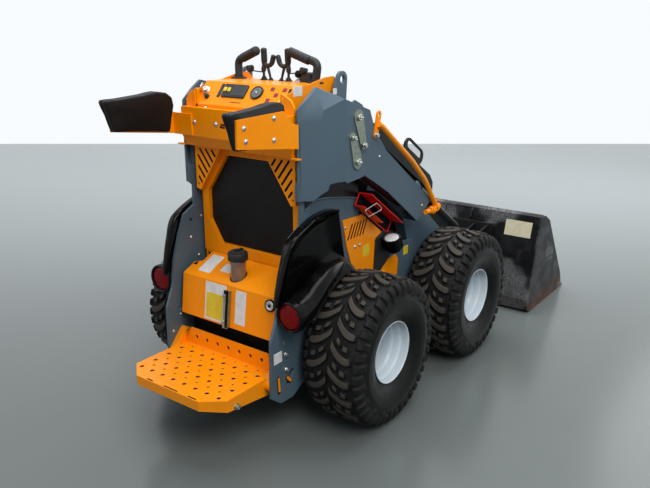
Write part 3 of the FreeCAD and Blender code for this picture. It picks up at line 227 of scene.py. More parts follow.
def from_side(node, along, height, side):
    """A place on a node's outer face, found from outside it."""
    return seat_on(node, (along, side * BESIDE, height), (0, -side, 0))


def from_rear(node, across, height):
    """A place on a node's rear face."""
    return seat_on(node, (-FAR, across, height), AHEAD)


def from_top(node, along, across):
    """A place on a node's upper face, its up way forwards."""
    return seat_on(node, (along, across, FAR), DOWN, AHEAD)


# ---------------------------------------------------------------- shells
def stand(name, mesh, look, body):
    """A mesh as an object that rides on a CAD body, its own one slot given the named finish."""
    thing = bpy.data.objects.new(name, mesh)
    bpy.context.scene.collection.objects.link(thing)
    mesh.materials.clear()
    mesh.materials.append(looks[look])
    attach(thing, body)
    return thing


class Shell:
    """One piece's surfaces, gathered as points and faces before they become a mesh."""

    def __init__(self):
        self.points = []
        self.faces = []
        self.total = 0

    def grid(self, points, around=True, along=False, caps=True):
        """Quads over a grid of points, rows by columns.

        With around, the last column joins the first; with along, the last row joins the
        first; with caps, the first and last rows are closed by one face each.
        """
        rows, columns = points.shape[:2]
        row = np.arange(rows if along else rows - 1)[:, None]
        column = np.arange(columns if around else columns - 1)[None, :]
        after, beside = (row + 1) % rows, (column + 1) % columns
        quads = np.stack(np.broadcast_arrays(
            row * columns + column, row * columns + beside,
            after * columns + beside, after * columns + column), -1).reshape(-1, 4)
        self.points.append(points.reshape(-1, 3))
        self.faces += (quads + self.total).tolist()
        if caps and not along:
            ring = np.arange(columns) + self.total
            self.faces += [ring[::-1].tolist(), (ring + (rows - 1) * columns).tolist()]
        self.total += rows * columns
        return self

    def lathe(self, profile, seat, count=24, ripple=1.0):
        """A profile of (radius, height) turned about the seat's outward way.

        ripple is a factor on the radius, one for all angles or one for each.
        """
        profile = np.asarray(profile, float)
        turn = angles(count)
        radius = profile[:, :1] * (np.ones(count) * ripple)
        local = np.stack([radius * np.cos(turn), radius * np.sin(turn),
                          np.broadcast_to(profile[:, 1:], radius.shape)], -1)
        return self.grid(at_seat(local, seat))

    def layers(self, outlines, heights, seat):
        """Outlines of equal count stacked at heights above the seat and joined."""
        local = np.stack([np.concatenate([line, np.full((len(line), 1), height)], -1)
                          for line, height in zip(outlines, heights)])
        return self.grid(at_seat(local, seat))

    def plate(self, width, height, corner, thick, seat, edge=0.0006, sink=0.0002, count=32):
        """A plate with round corners and a small chamfer, its foot sunk a little way in."""
        outline = round_oblong(width, height, corner, count)
        face = round_oblong(width - 2 * edge, height - 2 * edge, max(corner - edge, edge), count)
        return self.layers([outline, outline, face], (-sink, thick - edge, thick), seat)

    def sheet(self, corners, seat, radius, low, high, count=96, arc=6):
        """A flat sheet with round corners between two heights above its seat."""
        line = resample(polygon_outline(outline_for(corners, seat), radius, arc), count)
        return self.layers([line, line], (low, high), seat)

    def sweep(self, path, radius, up=(0, 1, 0), count=12):
        """A round section carried along a path: middle plus radius times (side, normal).

        up is a way that the path never runs along; radius is one value or one per point.
        """
        path = np.asarray(path, float)
        along = unit(np.gradient(path, axis=0))
        side = unit(np.cross(np.asarray(up, float), along))
        normal = np.cross(along, side)
        turn = angles(count)[None, :, None]
        radius = np.broadcast_to(np.asarray(radius, float), len(path))[:, None, None]
        ring = side[:, None] * np.cos(turn) + normal[:, None] * np.sin(turn)
        return self.grid(path[:, None] + radius * ring)

    def each(self, fitting, seats, *sizes):
        """The same fitting at each of several places."""
        for seat in seats:
            fitting(self, seat, *sizes)
        return self

    def put(self, name, look, body="chassis", slot=None, angle=32, replaces=None):
        """The gathered surfaces as one object, in the place of a CAD node if one is named."""
        mesh = bpy.data.meshes.new(name)
        mesh.from_pydata(np.concatenate(self.points).tolist(), [], self.faces)
        mesh.validate()
        mesh.shade_smooth()
        mesh.set_sharp_from_angle(angle=math.radians(angle))
        thing = stand(name, mesh, look, body)
        if replaces:
            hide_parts(replaces)
        return thing


# ---------------------------------------------------------------- finishes
def arithmetic(operation, swapped=False):
    """A method that adds one Math node, its operands the other way round if swapped."""
    def method(wire, other=0.0):
        pair = {int(swapped): wire, int(not swapped): other}
        return wire.finish.out("ShaderNodeMath", {"operation": operation}, pair)
    return method


class Wire:
    """One value in a finish's node tree. Arithmetic on it adds Math nodes."""

    def __init__(self, finish, socket):
        self.finish = finish
        self.socket = socket

    __add__, __radd__ = arithmetic("ADD"), arithmetic("ADD", True)
    __sub__, __rsub__ = arithmetic("SUBTRACT"), arithmetic("SUBTRACT", True)
    __mul__, __rmul__ = arithmetic("MULTIPLY"), arithmetic("MULTIPLY", True)
    __pow__, __abs__ = arithmetic("POWER"), arithmetic("ABSOLUTE")
    wave = arithmetic("SINE")
    most = arithmetic("MAXIMUM")

    def step(self, low, high):
        """0 at low, 1 at high and a smooth step between; low may be the larger one."""
        return self.finish.out("ShaderNodeMapRange", {"interpolation_type": "SMOOTHSTEP"},
                               {"Value": self, "From Min": low, "From Max": high})


class Finish:
    """A node tree being made, a new material's if no owner is given."""

    def __init__(self, name, owner=None):
        self.owner = owner or bpy.data.materials.new(name)
        self.owner.use_nodes = True
        self.tree = self.owner.node_tree
        self.tree.nodes.clear()

    def node(self, kind, settings=None, sockets=None):
        """A node of a type with its settings first, then its sockets' values or links."""
        node = self.tree.nodes.new(kind)
        for name, value in (settings or {}).items():
            setattr(node, name, value)
        for name, value in (sockets or {}).items():
            if isinstance(value, Wire):
                self.tree.links.new(value.socket, node.inputs[name])
            else:
                node.inputs[name].default_value = value
        return node

    def out(self, kind, settings=None, sockets=None, output=0):
        """One of a new node's outputs as a wire."""
        return Wire(self, self.node(kind, settings, sockets).outputs[output])

    @cached_property
    def place(self):
        """Object coordinates."""
        return self.out("ShaderNodeTexCoord", output="Object")

    def spot(self, stretch=(1, 1, 1), turn=(0, 0, 0)):
        """Object coordinates turned, then stretched."""
        return self.out("ShaderNodeMapping", {}, {
            "Vector": self.place, "Scale": stretch, "Rotation": turn})

    def noise(self, scale, detail=3.0, rough=0.55, place=None):
        """Cloudy noise round 0.5."""
        return self.out("ShaderNodeTexNoise", {}, {
            "Vector": place or self.place, "Scale": scale, "Detail": detail,
            "Roughness": rough}, "Fac")

    def cells(self, scale, feature="F1"):
        """Distance to the nearest of scattered points."""
        return self.out("ShaderNodeTexVoronoi", {"feature": feature}, {
            "Vector": self.place, "Scale": scale}, "Distance")

    def axes(self, vector=None):
        """The three numbers of a vector, object coordinates if none is given."""
        node = self.node("ShaderNodeSeparateXYZ", {}, {0: vector or self.place})
        return [Wire(self, output) for output in node.outputs]

    def facing_up(self):
        """How far the surface faces up: the height of its own way."""
        return self.axes(self.out("ShaderNodeNewGeometry", output="Normal"))[2]

    def attribute(self, name):
        """A number that the piece's own mesh carries."""
        return self.out("ShaderNodeAttribute", {"attribute_name": name}, output="Fac")

    def mix(self, share, first, second):
        """A colour that goes from first to second as share goes from 0 to 1."""
        return self.out("ShaderNodeMix", {"data_type": "RGBA"},
                        {0: share, 6: first, 7: second}, 2)

    def tones(self, share, colour, low, high):
        """A colour that goes from one shade of itself to another."""
        return self.mix(share, tone(colour, low), tone(colour, high))

    def over(self, tint, *coats):
        """A colour with coats of (share, colour) laid over it in turn."""
        for share, colour in coats:
            tint = self.mix(share, tint, colour)
        return tint

    def scratches(self, scale, turn, keep=0.03):
        """Thin lines along one way: noise stretched a hundredfold, and only its middle kept."""
        across = self.noise(scale, 2.0, 0.6, self.spot((0.012, 1, 1), turn))
        gate = self.noise(4.0, 2.0).step(0.5, 0.62)
        return abs(across - 0.5).step(keep, keep * 0.3) * gate

    def rounding(self, radius):
        """The surface's way as if each edge were rounded, and how near an edge the place is."""
        bevel = self.out("ShaderNodeBevel", {"samples": 3}, {"Radius": radius})
        own = self.out("ShaderNodeNewGeometry", output="Normal")
        return bevel, 1 - self.out("ShaderNodeVectorMath", {"operation": "DOT_PRODUCT"},
                                   {0: bevel, 1: own}, "Value")

    def shade(self, colour, rough, metal=0.0, heights=(), normal=None, **constants):
        """The shader: heights are (height, distance in metres) bumps, constants its sockets."""
        for height, distance in heights:
            sockets = {"Height": height, "Distance": distance, "Strength": 1.0}
            if normal is not None:
                sockets["Normal"] = normal
            normal = self.out("ShaderNodeBump", {}, sockets)
        sockets = {"Base Color": colour, "Roughness": rough, "Metallic": metal}
        if normal is not None:
            sockets["Normal"] = normal
        sockets.update({name.replace("_", " "): value for name, value in constants.items()})
        shader = self.out("ShaderNodeBsdfPrincipled", {}, sockets)
        self.node("ShaderNodeOutputMaterial", {}, {"Surface": shader})
        return self.owner

    def glow_where_seen(self, plain, glow, end):
        """The plain shader, but the glowing one for rays that come from the camera, from a
        glossy surface or through glass."""
        rays = self.node("ShaderNodeLightPath")
        camera, glossy, through = [Wire(self, rays.outputs["Is %s Ray" % kind])
                                   for kind in ("Camera", "Glossy", "Transmission")]
        blend = self.out("ShaderNodeMixShader", {}, {
            0: camera.most(glossy).most(through), 1: plain, 2: glow})
        self.node(end, {}, {"Surface": blend})


def display(red, green, blue):
    """A colour from its 0 to 255 display values."""
    return tuple(((value / 255 + 0.055) / 1.055) ** 2.4 if value > 10 else value / 3295
                 for value in (red, green, blue)) + (1.0,)


def tone(colour, factor=1.0):
    """A colour made lighter or darker, with a full alpha."""
    return tuple(min(value * factor, 1.0) for value in tuple(colour)[:3]) + (1.0,)


DUST = display(168, 158, 140)
MUD = display(96, 84, 70)
PRIMER = display(92, 92, 92)
STEEL = display(150, 150, 148)
RUST = display(134, 88, 60)
DARK_RUST = display(84, 56, 42)


def paint(name, colour, gloss=0.32, wear=0.5, dirt=0.5):
    """Sprayed enamel: orange peel, soft tone changes, chipped edges, dust, and painted shade
    that darkens low surfaces facing down.
    """
    finish = Finish(name)
    height = finish.axes()[2]
    up = finish.facing_up()
    cloud = finish.noise(2.3)
    soft, edge = finish.rounding(0.0022)
    chips = edge.step(0.02, 0.22) * finish.noise(75.0, 4.0).step(0.66 - 0.12 * wear, 0.74)
    specks = finish.cells(160.0).step(0.16, 0.10) * finish.noise(9.0).step(0.60, 0.70)
    bare = chips.most(specks * wear)
    marks = finish.scratches(190.0, (0.3, 0.2, 0.7))
    dust = up.step(0.2, 0.95) * finish.noise(14.0, 5.0, 0.65).step(0.34, 0.74) * (0.09 * dirt)
    splash = (height.step(0.55, 0.1) * finish.noise(22.0, 5.0, 0.7).step(0.46, 0.72)
              * (0.35 * dirt))
    # Painted shade: low surfaces that face down turn near black, for the shadow under the
    # machine.
    darkening = up.step(-0.3, -0.9) * height.step(0.5, 0.3) * 0.85
    tint = finish.over(finish.tones(cloud.step(0.3, 0.7), colour, 0.93, 1.05),
                       (marks * 0.22, tone(colour, 1.35)), (bare, PRIMER), (dust, DUST),
                       (splash, MUD), (darkening, tone(MUD, 0.2)))
    rough = gloss + cloud * 0.08 + dust * 0.9 + splash * 0.5 + bare * 0.2 + marks * 0.12
    return finish.shade(tint, rough, 0.0, [(finish.noise(420.0, 2.0), 0.00011),
                                           (0 - bare, 0.00025)], soft,
                        Coat_Weight=0.06, Coat_Roughness=0.08, Specular_IOR_Level=0.20)


def worn_bucket_paint(name, colour):
    """Black paint on a digging bucket: scuffed grey, long scratches, rust and a bright lip."""
    finish = Finish(name)
    along, across, height = finish.axes()
    soft, edge = finish.rounding(0.003)
    long_marks = finish.scratches(120.0, (0, 0.35, 0.0), 0.05)
    marks = long_marks.most(finish.scratches(260.0, (0.4, -0.5, 0.3), 0.05))
    cheek = abs(across).step(0.545, 0.552)
    scuffed = finish.noise(9.0, 7.0, 0.7).step(0.40, 0.66) * (0.10 + cheek * 0.65)
    low = height.step(0.120, 0.02) * (cheek * 0.9 + 0.1) * (0.45 + finish.noise(16.0, 5.0, 0.7))
    lip = along.step(1.12, 1.26) * height.step(0.14, 0.03)
    rusty = (low * 0.9 * finish.noise(11.0, 6.0, 0.7).step(0.36, 0.58)).most(
        edge.step(0.03, 0.3) * finish.noise(26.0, 4.0).step(0.55, 0.68))
    rust_tint = finish.mix(finish.noise(60.0, 5.0, 0.7).step(0.35, 0.65), DARK_RUST, RUST)
    polished = lip * finish.noise(9.0, 4.0).step(0.35, 0.6) * 0.7
    tint = finish.over(colour, (scuffed, display(96, 98, 100)),
                       (marks * 0.6, display(150, 152, 154)), (rusty, rust_tint),
                       (polished, STEEL))
    rough = 0.42 + scuffed * 0.2 + rusty * 0.3 - polished * 0.1
    return finish.shade(tint, rough, polished * 0.9, [
        (finish.noise(300.0), 0.00012), (rusty, 0.0003), (0 - marks, 0.0001)], soft,
        Specular_IOR_Level=0.18)


def plated(name, colour, rough=0.36):
    """Zinc plate: a faint crystal bloom, darker stains and brighter edges."""
    finish = Finish(name)
    soft, edge = finish.rounding(0.0008)
    stain = finish.noise(18.0, 5.0, 0.65)
    tint = finish.over(finish.tones(finish.cells(70.0).step(0.1, 0.7), colour, 0.86, 1.1),
                       (stain.step(0.55, 0.75) * 0.55, display(96, 88, 72)))
    gloss = rough + stain.step(0.45, 0.75) * 0.22 - edge.step(0.02, 0.3) * 0.08
    return finish.shade(tint, gloss, 0.92, [(finish.noise(500.0, 2.0), 0.00005)], soft)


def chrome(name):
    """Hard chrome on a rod: bright, with faint hoop lines and thin oil films."""
    finish = Finish(name)
    film = finish.noise(12.0, 4.0)
    hoops = finish.noise(900.0, 1.0, 0.5, finish.spot((1, 0.02, 1)))
    tint = finish.mix(film.step(0.45, 0.7), display(206, 208, 212), display(176, 176, 174))
    rough = 0.09 + film.step(0.4, 0.75) * 0.14 + hoops * 0.03
    return finish.shade(tint, rough, 1.0, [(hoops, 0.00001)])


def moulded(name, colour, rough=0.5, grain=0.0001, scale=650.0, dusty=0.3, shine=0.4):
    """Moulded plastic or hard rubber: fine spark grain, dull patches and settled dust."""
    finish = Finish(name)
    soft, edge = finish.rounding(0.0018)
    patch = finish.noise(7.0, 4.0, 0.6)
    marks = finish.scratches(240.0, (0.2, 0.6, 0.9))
    dust = (finish.facing_up().step(0.1, 0.9) * finish.noise(20.0, 5.0, 0.7).step(0.4, 0.75)
            * (dusty * 0.35))
    tint = finish.over(finish.tones(patch.step(0.35, 0.7), colour, 1.0, 1.35),
                       (marks * (dusty * 0.5) + edge.step(0.05, 0.4) * (dusty * 0.3), PRIMER),
                       (dust, DUST))
    gloss = rough + patch.step(0.4, 0.75) * 0.12 + marks * 0.15 + dust
    return finish.shade(tint, gloss, 0.0, [(finish.noise(scale), grain)], soft,
                        Specular_IOR_Level=shine)


def tyre_rubber(name, colour):
    """Tyre rubber: brownish rubbed lug tops, dust in the grooves, smoother side walls."""
    finish = Finish(name)
    top = finish.attribute("lug_height")
    wall = finish.attribute("wall_share")
    cloud = finish.noise(9.0, 5.0, 0.65)
    rubbed = top.step(0.72, 0.98) * (0.35 + cloud * 0.8)
    groove = top.step(0.3, 0.0) * (1 - wall) * finish.noise(24.0, 5.0, 0.7).step(0.35, 0.7)
    tint = finish.over(finish.tones(cloud.step(0.35, 0.7), colour, 0.42, 0.68),
                       (rubbed * 0.85, display(86, 80, 73)),
                       (groove * 0.15, display(66, 64, 64)),
                       (wall * cloud.step(0.5, 0.75) * 0.08, display(100, 98, 94)))
    rough = 0.58 + groove * 0.2 - wall * 0.22 + rubbed * 0.12
    return finish.shade(tint, rough, 0.0, [(finish.noise(130.0, 4.0, 0.7), 0.0005),
                                           (finish.noise(500.0, 2.0), 0.00012)],
                        Specular_IOR_Level=0.18)


def vinyl(name, colour):
    """Coated pad cloth: pebbled grain from small cells, a soft sheen and rubbed high spots."""
    finish = Finish(name)
    pebbles = finish.cells(620.0, "SMOOTH_F1")
    rub = finish.noise(6.0, 4.0).step(0.42, 0.7)
    tint = finish.over(finish.tones(rub, colour, 1.0, 1.6),
                       (finish.noise(40.0, 5.0, 0.7).step(0.62, 0.78) * 0.06, DUST))
    return finish.shade(tint, 0.46 + rub * 0.14 + pebbles * 0.15, 0.0,
                        [(pebbles, 0.0003), (finish.noise(26.0, 4.0), 0.0012)],
                        Specular_IOR_Level=0.22)


def lens(name, colour):
    """A moulded tail lamp lens: prism rings about its middle, crossed by fine flutes."""
    finish = Finish(name)
    _, across, height = finish.axes()
    right = abs(across) - LAMP_Y
    up = height - LAMP_Z
    rings = ((right * right + up * up) ** 0.5 * 700.0).wave() * 0.5 + 0.5
    flutes = (right * 900.0).wave() * (up * 900.0).wave()
    tint = finish.over(finish.tones(rings * 0.6 + flutes * 0.2, colour, 0.55, 1.25),
                       (finish.noise(30.0, 5.0).step(0.5, 0.8) * 0.03, DUST))
    return finish.shade(tint, 0.22 + finish.noise(40.0).step(0.5, 0.8) * 0.15, 0.0,
                        [(rings, 0.0003), (flutes, 0.0002)], Specular_IOR_Level=0.12)


def glass_lens(name, colour):
    """A clear lamp lens over its white reflector: small pillows that catch the light."""
    finish = Finish(name)
    pillows = finish.cells(190.0, "SMOOTH_F1")
    tint = finish.over(finish.tones(pillows.step(0.1, 0.7), colour, 1.0, 0.82),
                       (finish.noise(60.0, 4.0).step(0.6, 0.8) * 0.2, DUST))
    return finish.shade(tint, 0.14 + pillows * 0.1, 0.0, [(pillows, 0.0006)],
                        Coat_Weight=0.7, Coat_Roughness=0.04)


def cast_iron(name, colour):
    """Sand-cast iron in dull engine paint: lumpy grain, oil stains and dusty ledges."""
    finish = Finish(name)
    lumps = finish.cells(140.0, "SMOOTH_F1")
    oil = finish.noise(8.0, 5.0, 0.65).step(0.5, 0.68)
    ledges = finish.facing_up().step(0.3, 1.0) * finish.noise(18.0, 4.0).step(0.4, 0.7) * 0.35
    tint = finish.over(finish.tones(lumps.step(0.1, 0.8), colour, 0.8, 1.2),
                       (oil * 0.8, display(26, 22, 18)), (ledges, DUST))
    return finish.shade(tint, 0.7 - oil * 0.35, 0.2, [(lumps, 0.0008)])


def printed_plate(name, colour, darkening=0.5):
    """A blank printed plate: slightly yellowed film, rubbed patches and grey edge dirt."""
    finish = Finish(name)
    fade = finish.noise(35.0, 4.0, 0.6)
    dirt = finish.noise(120.0, 5.0, 0.7).step(0.55, 0.75) * darkening
    tint = finish.over(finish.tones(fade.step(0.35, 0.7), colour, 1.0, 0.86),
                       (dirt * 0.4, display(120, 112, 98)))
    return finish.shade(tint, 0.3 + fade * 0.15 + dirt * 0.3, 0.0,
                        [(finish.noise(90.0, 2.0), 0.0001)])


def tinted_plastic(name, colour):
    """Thin translucent tank plastic with fuel behind it: warm, cloudy and faintly ribbed."""
    finish = Finish(name)
    cloud = finish.noise(30.0, 4.0)
    bands = (finish.axes()[2] * 520.0).wave() * 0.5 + 0.5
    tint = finish.over(finish.tones(cloud.step(0.3, 0.7), colour, 0.75, 1.3),
                       (bands * 0.12, tone(colour, 1.9)))
    return finish.shade(tint, 0.26 + cloud * 0.1, 0.0, [(bands, 0.0002)], Coat_Weight=0.3,
                        Coat_Roughness=0.1)


def dark_glass(name, colour):
    """A display window: deep glass with a faint grid behind it and wiped smears."""
    finish = Finish(name)
    smear = finish.noise(34.0, 3.0, 0.6, finish.spot((1, 3, 1))).step(0.5, 0.7)
    tint = finish.tones(finish.cells(900.0).step(0.1, 0.6) * 0.3, colour, 1.0, 1.8)
    return finish.shade(tint, 0.06 + smear * 0.16, 0.0, [(smear, 0.00002)], Coat_Weight=0.5,
                        Coat_Roughness=0.03)


def build_finishes(colours):
    """Every finish by its plain name."""
    black, rubber = tone(colours.black), tone(colours.rubber)
    return {
        "grey_paint": paint("slate_grey_enamel", tone(colours.grey), 0.34, 0.5, 0.55),
        "amber_paint": paint("amber_enamel", tone(colours.amber), 0.28, 0.4, 0.3),
        "black_paint": paint("black_enamel", black, 0.36, 0.7, 0.8),
        "red_paint": paint("red_enamel", tone(colours.red), 0.25, 0.5, 0.3),
        "silver_paint": paint("silver_wheel_enamel", tone(colours.rim), 0.25, 0.3, 0.2),
        # A darker black enamel for the band that paints the shadow under the tower housings.
        "painted_shadow_black": paint("painted_shadow_enamel", tone(black, 0.5), 0.22, 0.4, 0.4),
        "worn_bucket": worn_bucket_paint("worn_bucket_paint", tone(black, 0.6)),
        "zinc_steel": plated("yellow_grey_zinc", display(150, 160, 146)),
        "bright_steel": plated("bright_zinc", display(190, 192, 190), 0.28),
        "chrome_rod": chrome("hard_chrome"),
        "cast_engine": cast_iron("engine_casting", display(58, 60, 62)),
        "black_rubber": moulded("grip_rubber", rubber, 0.52, 0.0002, 500.0),
        "black_plastic": moulded("gloss_black_moulding", tone(black, 0.35), 0.09,
                                 0.00003, 300.0, 0.06, 0.13),
        "matt_plastic": moulded("matt_black_moulding", tone(black, 1.5), scale=700.0),
        # A near-black finish for pieces that paint shade in holes, slots and the lock's channel.
        "painted_shade_lining": moulded("painted_shade_lining", tone(black, 0.4), 0.8, 0.0001, 500.0, 0.1, 0.1),
        "pad_vinyl": vinyl("coated_pad_cloth", tone(rubber, 0.62)),
        "knee_vinyl": vinyl("knee_pad_cloth", tone(rubber, 0.12)),
        "red_lens": lens("ruby_lens", display(128, 6, 14)),
        "clear_lens": glass_lens("clear_lens", display(226, 232, 236)),
        "tyre_rubber": tyre_rubber("tyre_tread_rubber", rubber),
        "white_plate": printed_plate("white_film", display(226, 228, 228)),
        "cream_plate": printed_plate("aged_cream_film", display(206, 200, 172), 0.9),
        "yellow_plate": printed_plate("yellow_film", display(226, 200, 40)),
        "red_plate": printed_plate("red_film", display(150, 22, 40), 0.2),
        "gauge_face": printed_plate("gauge_face_film", display(92, 98, 100), 0.1),
        "tank_neck": tinted_plastic("smoked_tank_plastic", display(118, 100, 86)),
        "dark_glass": dark_glass("display_glass", display(16, 18, 20)),
    }


# ---------------------------------------------------------------- fasteners
def bolt(shell, seat, across, washer=True, tall=0.62):
    """A hexagon bolt head on its washer: each ring's radius is the flats' half width over the
    cosine of the angle from the nearest flat, cut back to a circle at the chamfer."""
    turn = angles(24) - TAU / 48
    flats = 1 / np.cos((turn + TAU / 12) % (TAU / 6) - TAU / 12)
    half = across / 2
    foot = 0.0
    if washer:
        foot = across * 0.11
        shell.lathe([(half * 1.42, -0.0004), (half * 1.42, foot * 0.8), (half * 1.36, foot),
                     (half * 1.05, foot)], seat)
    top = foot + across * tall
    shell.lathe([(half, foot - 0.0002), (half, top - across * 0.08)], seat, 24, flats)
    shell.lathe([(half * 1.13, top - across * 0.09), (half * 0.94, top),
                 (half * 0.60, top), (half * 0.56, top - across * 0.03)], seat)


def button_screw(shell, seat, across):
    """A domed socket screw: a quarter-round crown with a hexagon socket sunk in its top."""
    half = across / 2
    rise = np.linspace(0, math.pi / 2, 6)[:-1]
    dome = [(half, 0.0008)] + [(half * math.cos(a), half * 0.62 * math.sin(a) + 0.0014)
                               for a in rise]
    dome += [(half * r, half * z + 0.0014) for r, z in ((0.42, 0.60), (0.38, 0.57), (0.36, 0.2))]
    shell.lathe([(half * 1.3, -0.0004), (half * 1.3, 0.0012), (half * 1.02, 0.0016)], seat, 20)
    shell.lathe(dome, seat, 20)


def grease_nipple(shell, seat):
    """A small grease fitting: hexagon foot, waisted neck and ball tip."""
    shell.lathe([(0.0045, -0.001), (0.0045, 0.003), (0.003, 0.004), (0.0028, 0.007),
                 (0.0034, 0.0085), (0.0034, 0.010), (0.0022, 0.0118)], seat, 12)


def weld(shell, start, end, width, up):
    """A weld bead: a rod along a line whose radius swells and shrinks with each ripple."""
    start, end = np.asarray(start, float), np.asarray(end, float)
    length = np.linalg.norm(end - start)
    part = np.linspace(0, 1, max(int(length / 0.0022), 8))
    ripple = 1 + 0.16 * np.sin(part * length / 0.0052 * TAU) + 0.06 * np.sin(part * 23)
    taper = ease(np.minimum(part, 1 - part) * length / 0.006) * 0.5 + 0.5
    shell.sweep(start + (end - start) * part[:, None], width / 2 * ripple * taper, up, 8)


def collar(shell, seat, radius):
    """A raised half-round lip round a hole, its section in shares of the hole's radius."""
    turn = angles(20)
    share = np.array([(1.00, -0.0006), (1.05, 0.0012), (1.22, 0.0021), (1.42, 0.0017),
                      (1.60, 0.0002), (1.60, -0.0006)])
    ring = np.stack(np.broadcast_arrays(
        radius * share[:, :1] * np.cos(turn), radius * share[:, :1] * np.sin(turn),
        share[:, 1:]), -1)
    shell.grid((seat[0] + ring)[::-1], along=True)


# ---------------------------------------------------------------- large pieces
def tyre(name, settings, phase):
    """One tyre with its tread.

    Two parameters: arc runs over the section from bead to bead, and turn runs round the
    wheel. The section is a smooth curve through its sidewall, shoulder and crown. The turn is
    sheared by a curve of the arc, so that straight lug edges become swept bars: the height of
    the tread is a product of smooth steps in arc and in the sheared turn.
    """
    low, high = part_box("tyre_" + name)
    middle = (np.array(low) + np.array(high)) / 2
    radius = (high.z - low.z) / 2
    half = (high.y - low.y) / 2
    lug = settings.lug_depth
    # The section from the crown to the bead: share of the half width, drop below the crown.
    section = np.array([
        (0.0, 0.0), (0.35, 0.0005), (0.66, 0.0035), (0.815, 0.010), (0.905, 0.022),
        (0.95, 0.040), (0.988, 0.065), (0.994, 0.085), (0.96, 0.110), (0.875, 0.134),
        (0.806, 0.146), (0.772, 0.1525), (0.762, 0.1590)])
    fine = smooth_path(section * (half, -1) + (0, radius - lug), 24, 0.4)
    step = lengths(fine)
    arc = np.concatenate([np.arange(0.0016, 0.150, 0.0034),
                          np.linspace(0.153, step[-1], 22)])
    out, away = at_lengths(fine, step, arc).T
    arc = np.concatenate([-arc[::-1], arc])
    out = np.concatenate([-out[::-1], out])
    away = np.concatenate([away[::-1], away])
    slope = unit(np.stack([np.gradient(out), np.gradient(away)], -1))
    normal = np.stack([-slope[:, 1], slope[:, 0]], -1)
    pitches = settings.tread_pitches
    turn = np.arange(pitches * 22) / (pitches * 22) * TAU
    side = np.abs(arc)[:, None]
    cycle = (turn[None, :] * pitches / TAU + np.where(arc > 0, 0.0, 0.5)[:, None]) % 1.0

    def block(middle_part, half_part, inner, outer):
        """One lug: smooth steps up and down round a part of the pitch and a span of arc."""
        away_from = np.abs((cycle - middle_part + 0.5) % 1.0 - 0.5)
        return (ease((half_part - away_from) / 0.045 + 0.5)
                * ease((side - inner) / 0.005) * ease((outer - side) / 0.005))

    tread = np.maximum.reduce([
        block(0.30, 0.168, 0.001, 0.086), block(0.30, 0.130, 0.070, 0.096),
        block(0.80, 0.120, 0.019, 0.045), block(0.77, 0.120, 0.051, 0.078)])
    shoulder = np.maximum(block(0.06, 0.165, 0.099, 0.158), block(0.56, 0.165, 0.099, 0.146))
    fade = 1 - 0.62 * ease((side - 0.108) / 0.045)
    bead = (0.0012 * np.exp(-((side - 0.176) / 0.004) ** 2)
            + 0.0010 * np.exp(-((side - 0.232) / 0.0035) ** 2))
    lift = np.maximum(tread * lug, shoulder * lug * fade) + bead
    share = np.clip(side / 0.080, 0, 1)
    shear = settings.tread_sweep * (2 * share - share ** 2) / radius
    angle = turn[None, :] - shear + phase
    ring = away[:, None] + lift * normal[:, 1:]
    across = out[:, None] + lift * normal[:, :1]
    points = np.stack([middle[0] - ring * np.cos(angle), middle[1] + across,
                       middle[2] + ring * np.sin(angle)], -1)
    piece = Shell().grid(points, along=True).put("tread_" + name, "tyre_rubber",
                                                 "wheel_" + name, angle=38)
    for label, values in (("lug_height", tread * (1 - 0.3 * ease((side - 0.080) / 0.02))),
                          ("wall_share", ease((side - 0.135) / 0.03) * np.ones_like(lift))):
        layer = piece.data.attributes.new(label, "FLOAT", "POINT")
        layer.data.foreach_set("value", values.reshape(-1).astype(np.float32))
    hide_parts("tyre_" + name)


def add_tyres(settings):
    """The four treaded tyres, each turned a little differently, as they come to rest."""
    turns = np.random.default_rng(settings.seed).uniform(0, TAU, 4)
    for (name, _), turn in zip(WHEELS, turns):
        tyre(name, settings, turn)


def folded_towers():
    """The towers' bent-sheet housings: the CAD node's surface, folded inwards in plan.

    Its distance out from the cheek is multiplied by a share of x: one ahead of the front fold,
    about a half at the middle fold and almost nothing at the rear edge, with each fold rounded
    by a running mean of the share. The foot's rear end is drawn down to meet the shroud.
    """
    for name, side in SIDES:
        shape = bmesh.new()
        shape.from_mesh(frame["nodes"]["tower_" + name].data)
        bmesh.ops.remove_doubles(shape, verts=shape.verts, dist=1e-5)
        low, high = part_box("tower_" + name)
        inner = min(abs(low.y), abs(high.y))
        for along in np.linspace(low.x + 0.004, low.x + 0.186, 27):
            bmesh.ops.bisect_plane(shape, geom=shape.verts[:] + shape.edges[:] + shape.faces[:],
                                   dist=1e-6, plane_co=(along, 0, 0), plane_no=(1, 0, 0))
        mesh = bpy.data.meshes.new("tower_housing_" + name)
        shape.to_mesh(mesh)
        shape.free()
        points = np.empty(len(mesh.vertices) * 3)
        mesh.vertices.foreach_get("co", points)
        points = points.reshape(-1, 3)
        along = points[:, 0] - low.x
        share = np.interp(along[:, None] + np.linspace(-0.016, 0.016, 9),
                          [0, 0.060, 0.163, 0.3], [0.04, 0.48, 1.0, 1.0]).mean(1)
        points[:, 1] = side * (inner + (np.abs(points[:, 1]) - inner) * share)
        foot = np.interp(along, [0, 0.19, 0.26, 0.346], [0, 0.006, 0.016, 0.06])
        drop = np.interp(along, [0, 0.05, 0.075, 0.12, 0.20, 0.26],
                         [0.034, 0.046, 0.030, 0.014, 0.005, 0.0])
        points[:, 2] -= drop * (points[:, 2] < low.z + foot + 0.012)
        mesh.vertices.foreach_set("co", points.reshape(-1))
        mesh.shade_smooth()
        mesh.set_sharp_from_angle(angle=math.radians(14))
        piece = stand("tower_housing_" + name, mesh, "grey_paint", "chassis")
        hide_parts("tower_" + name)


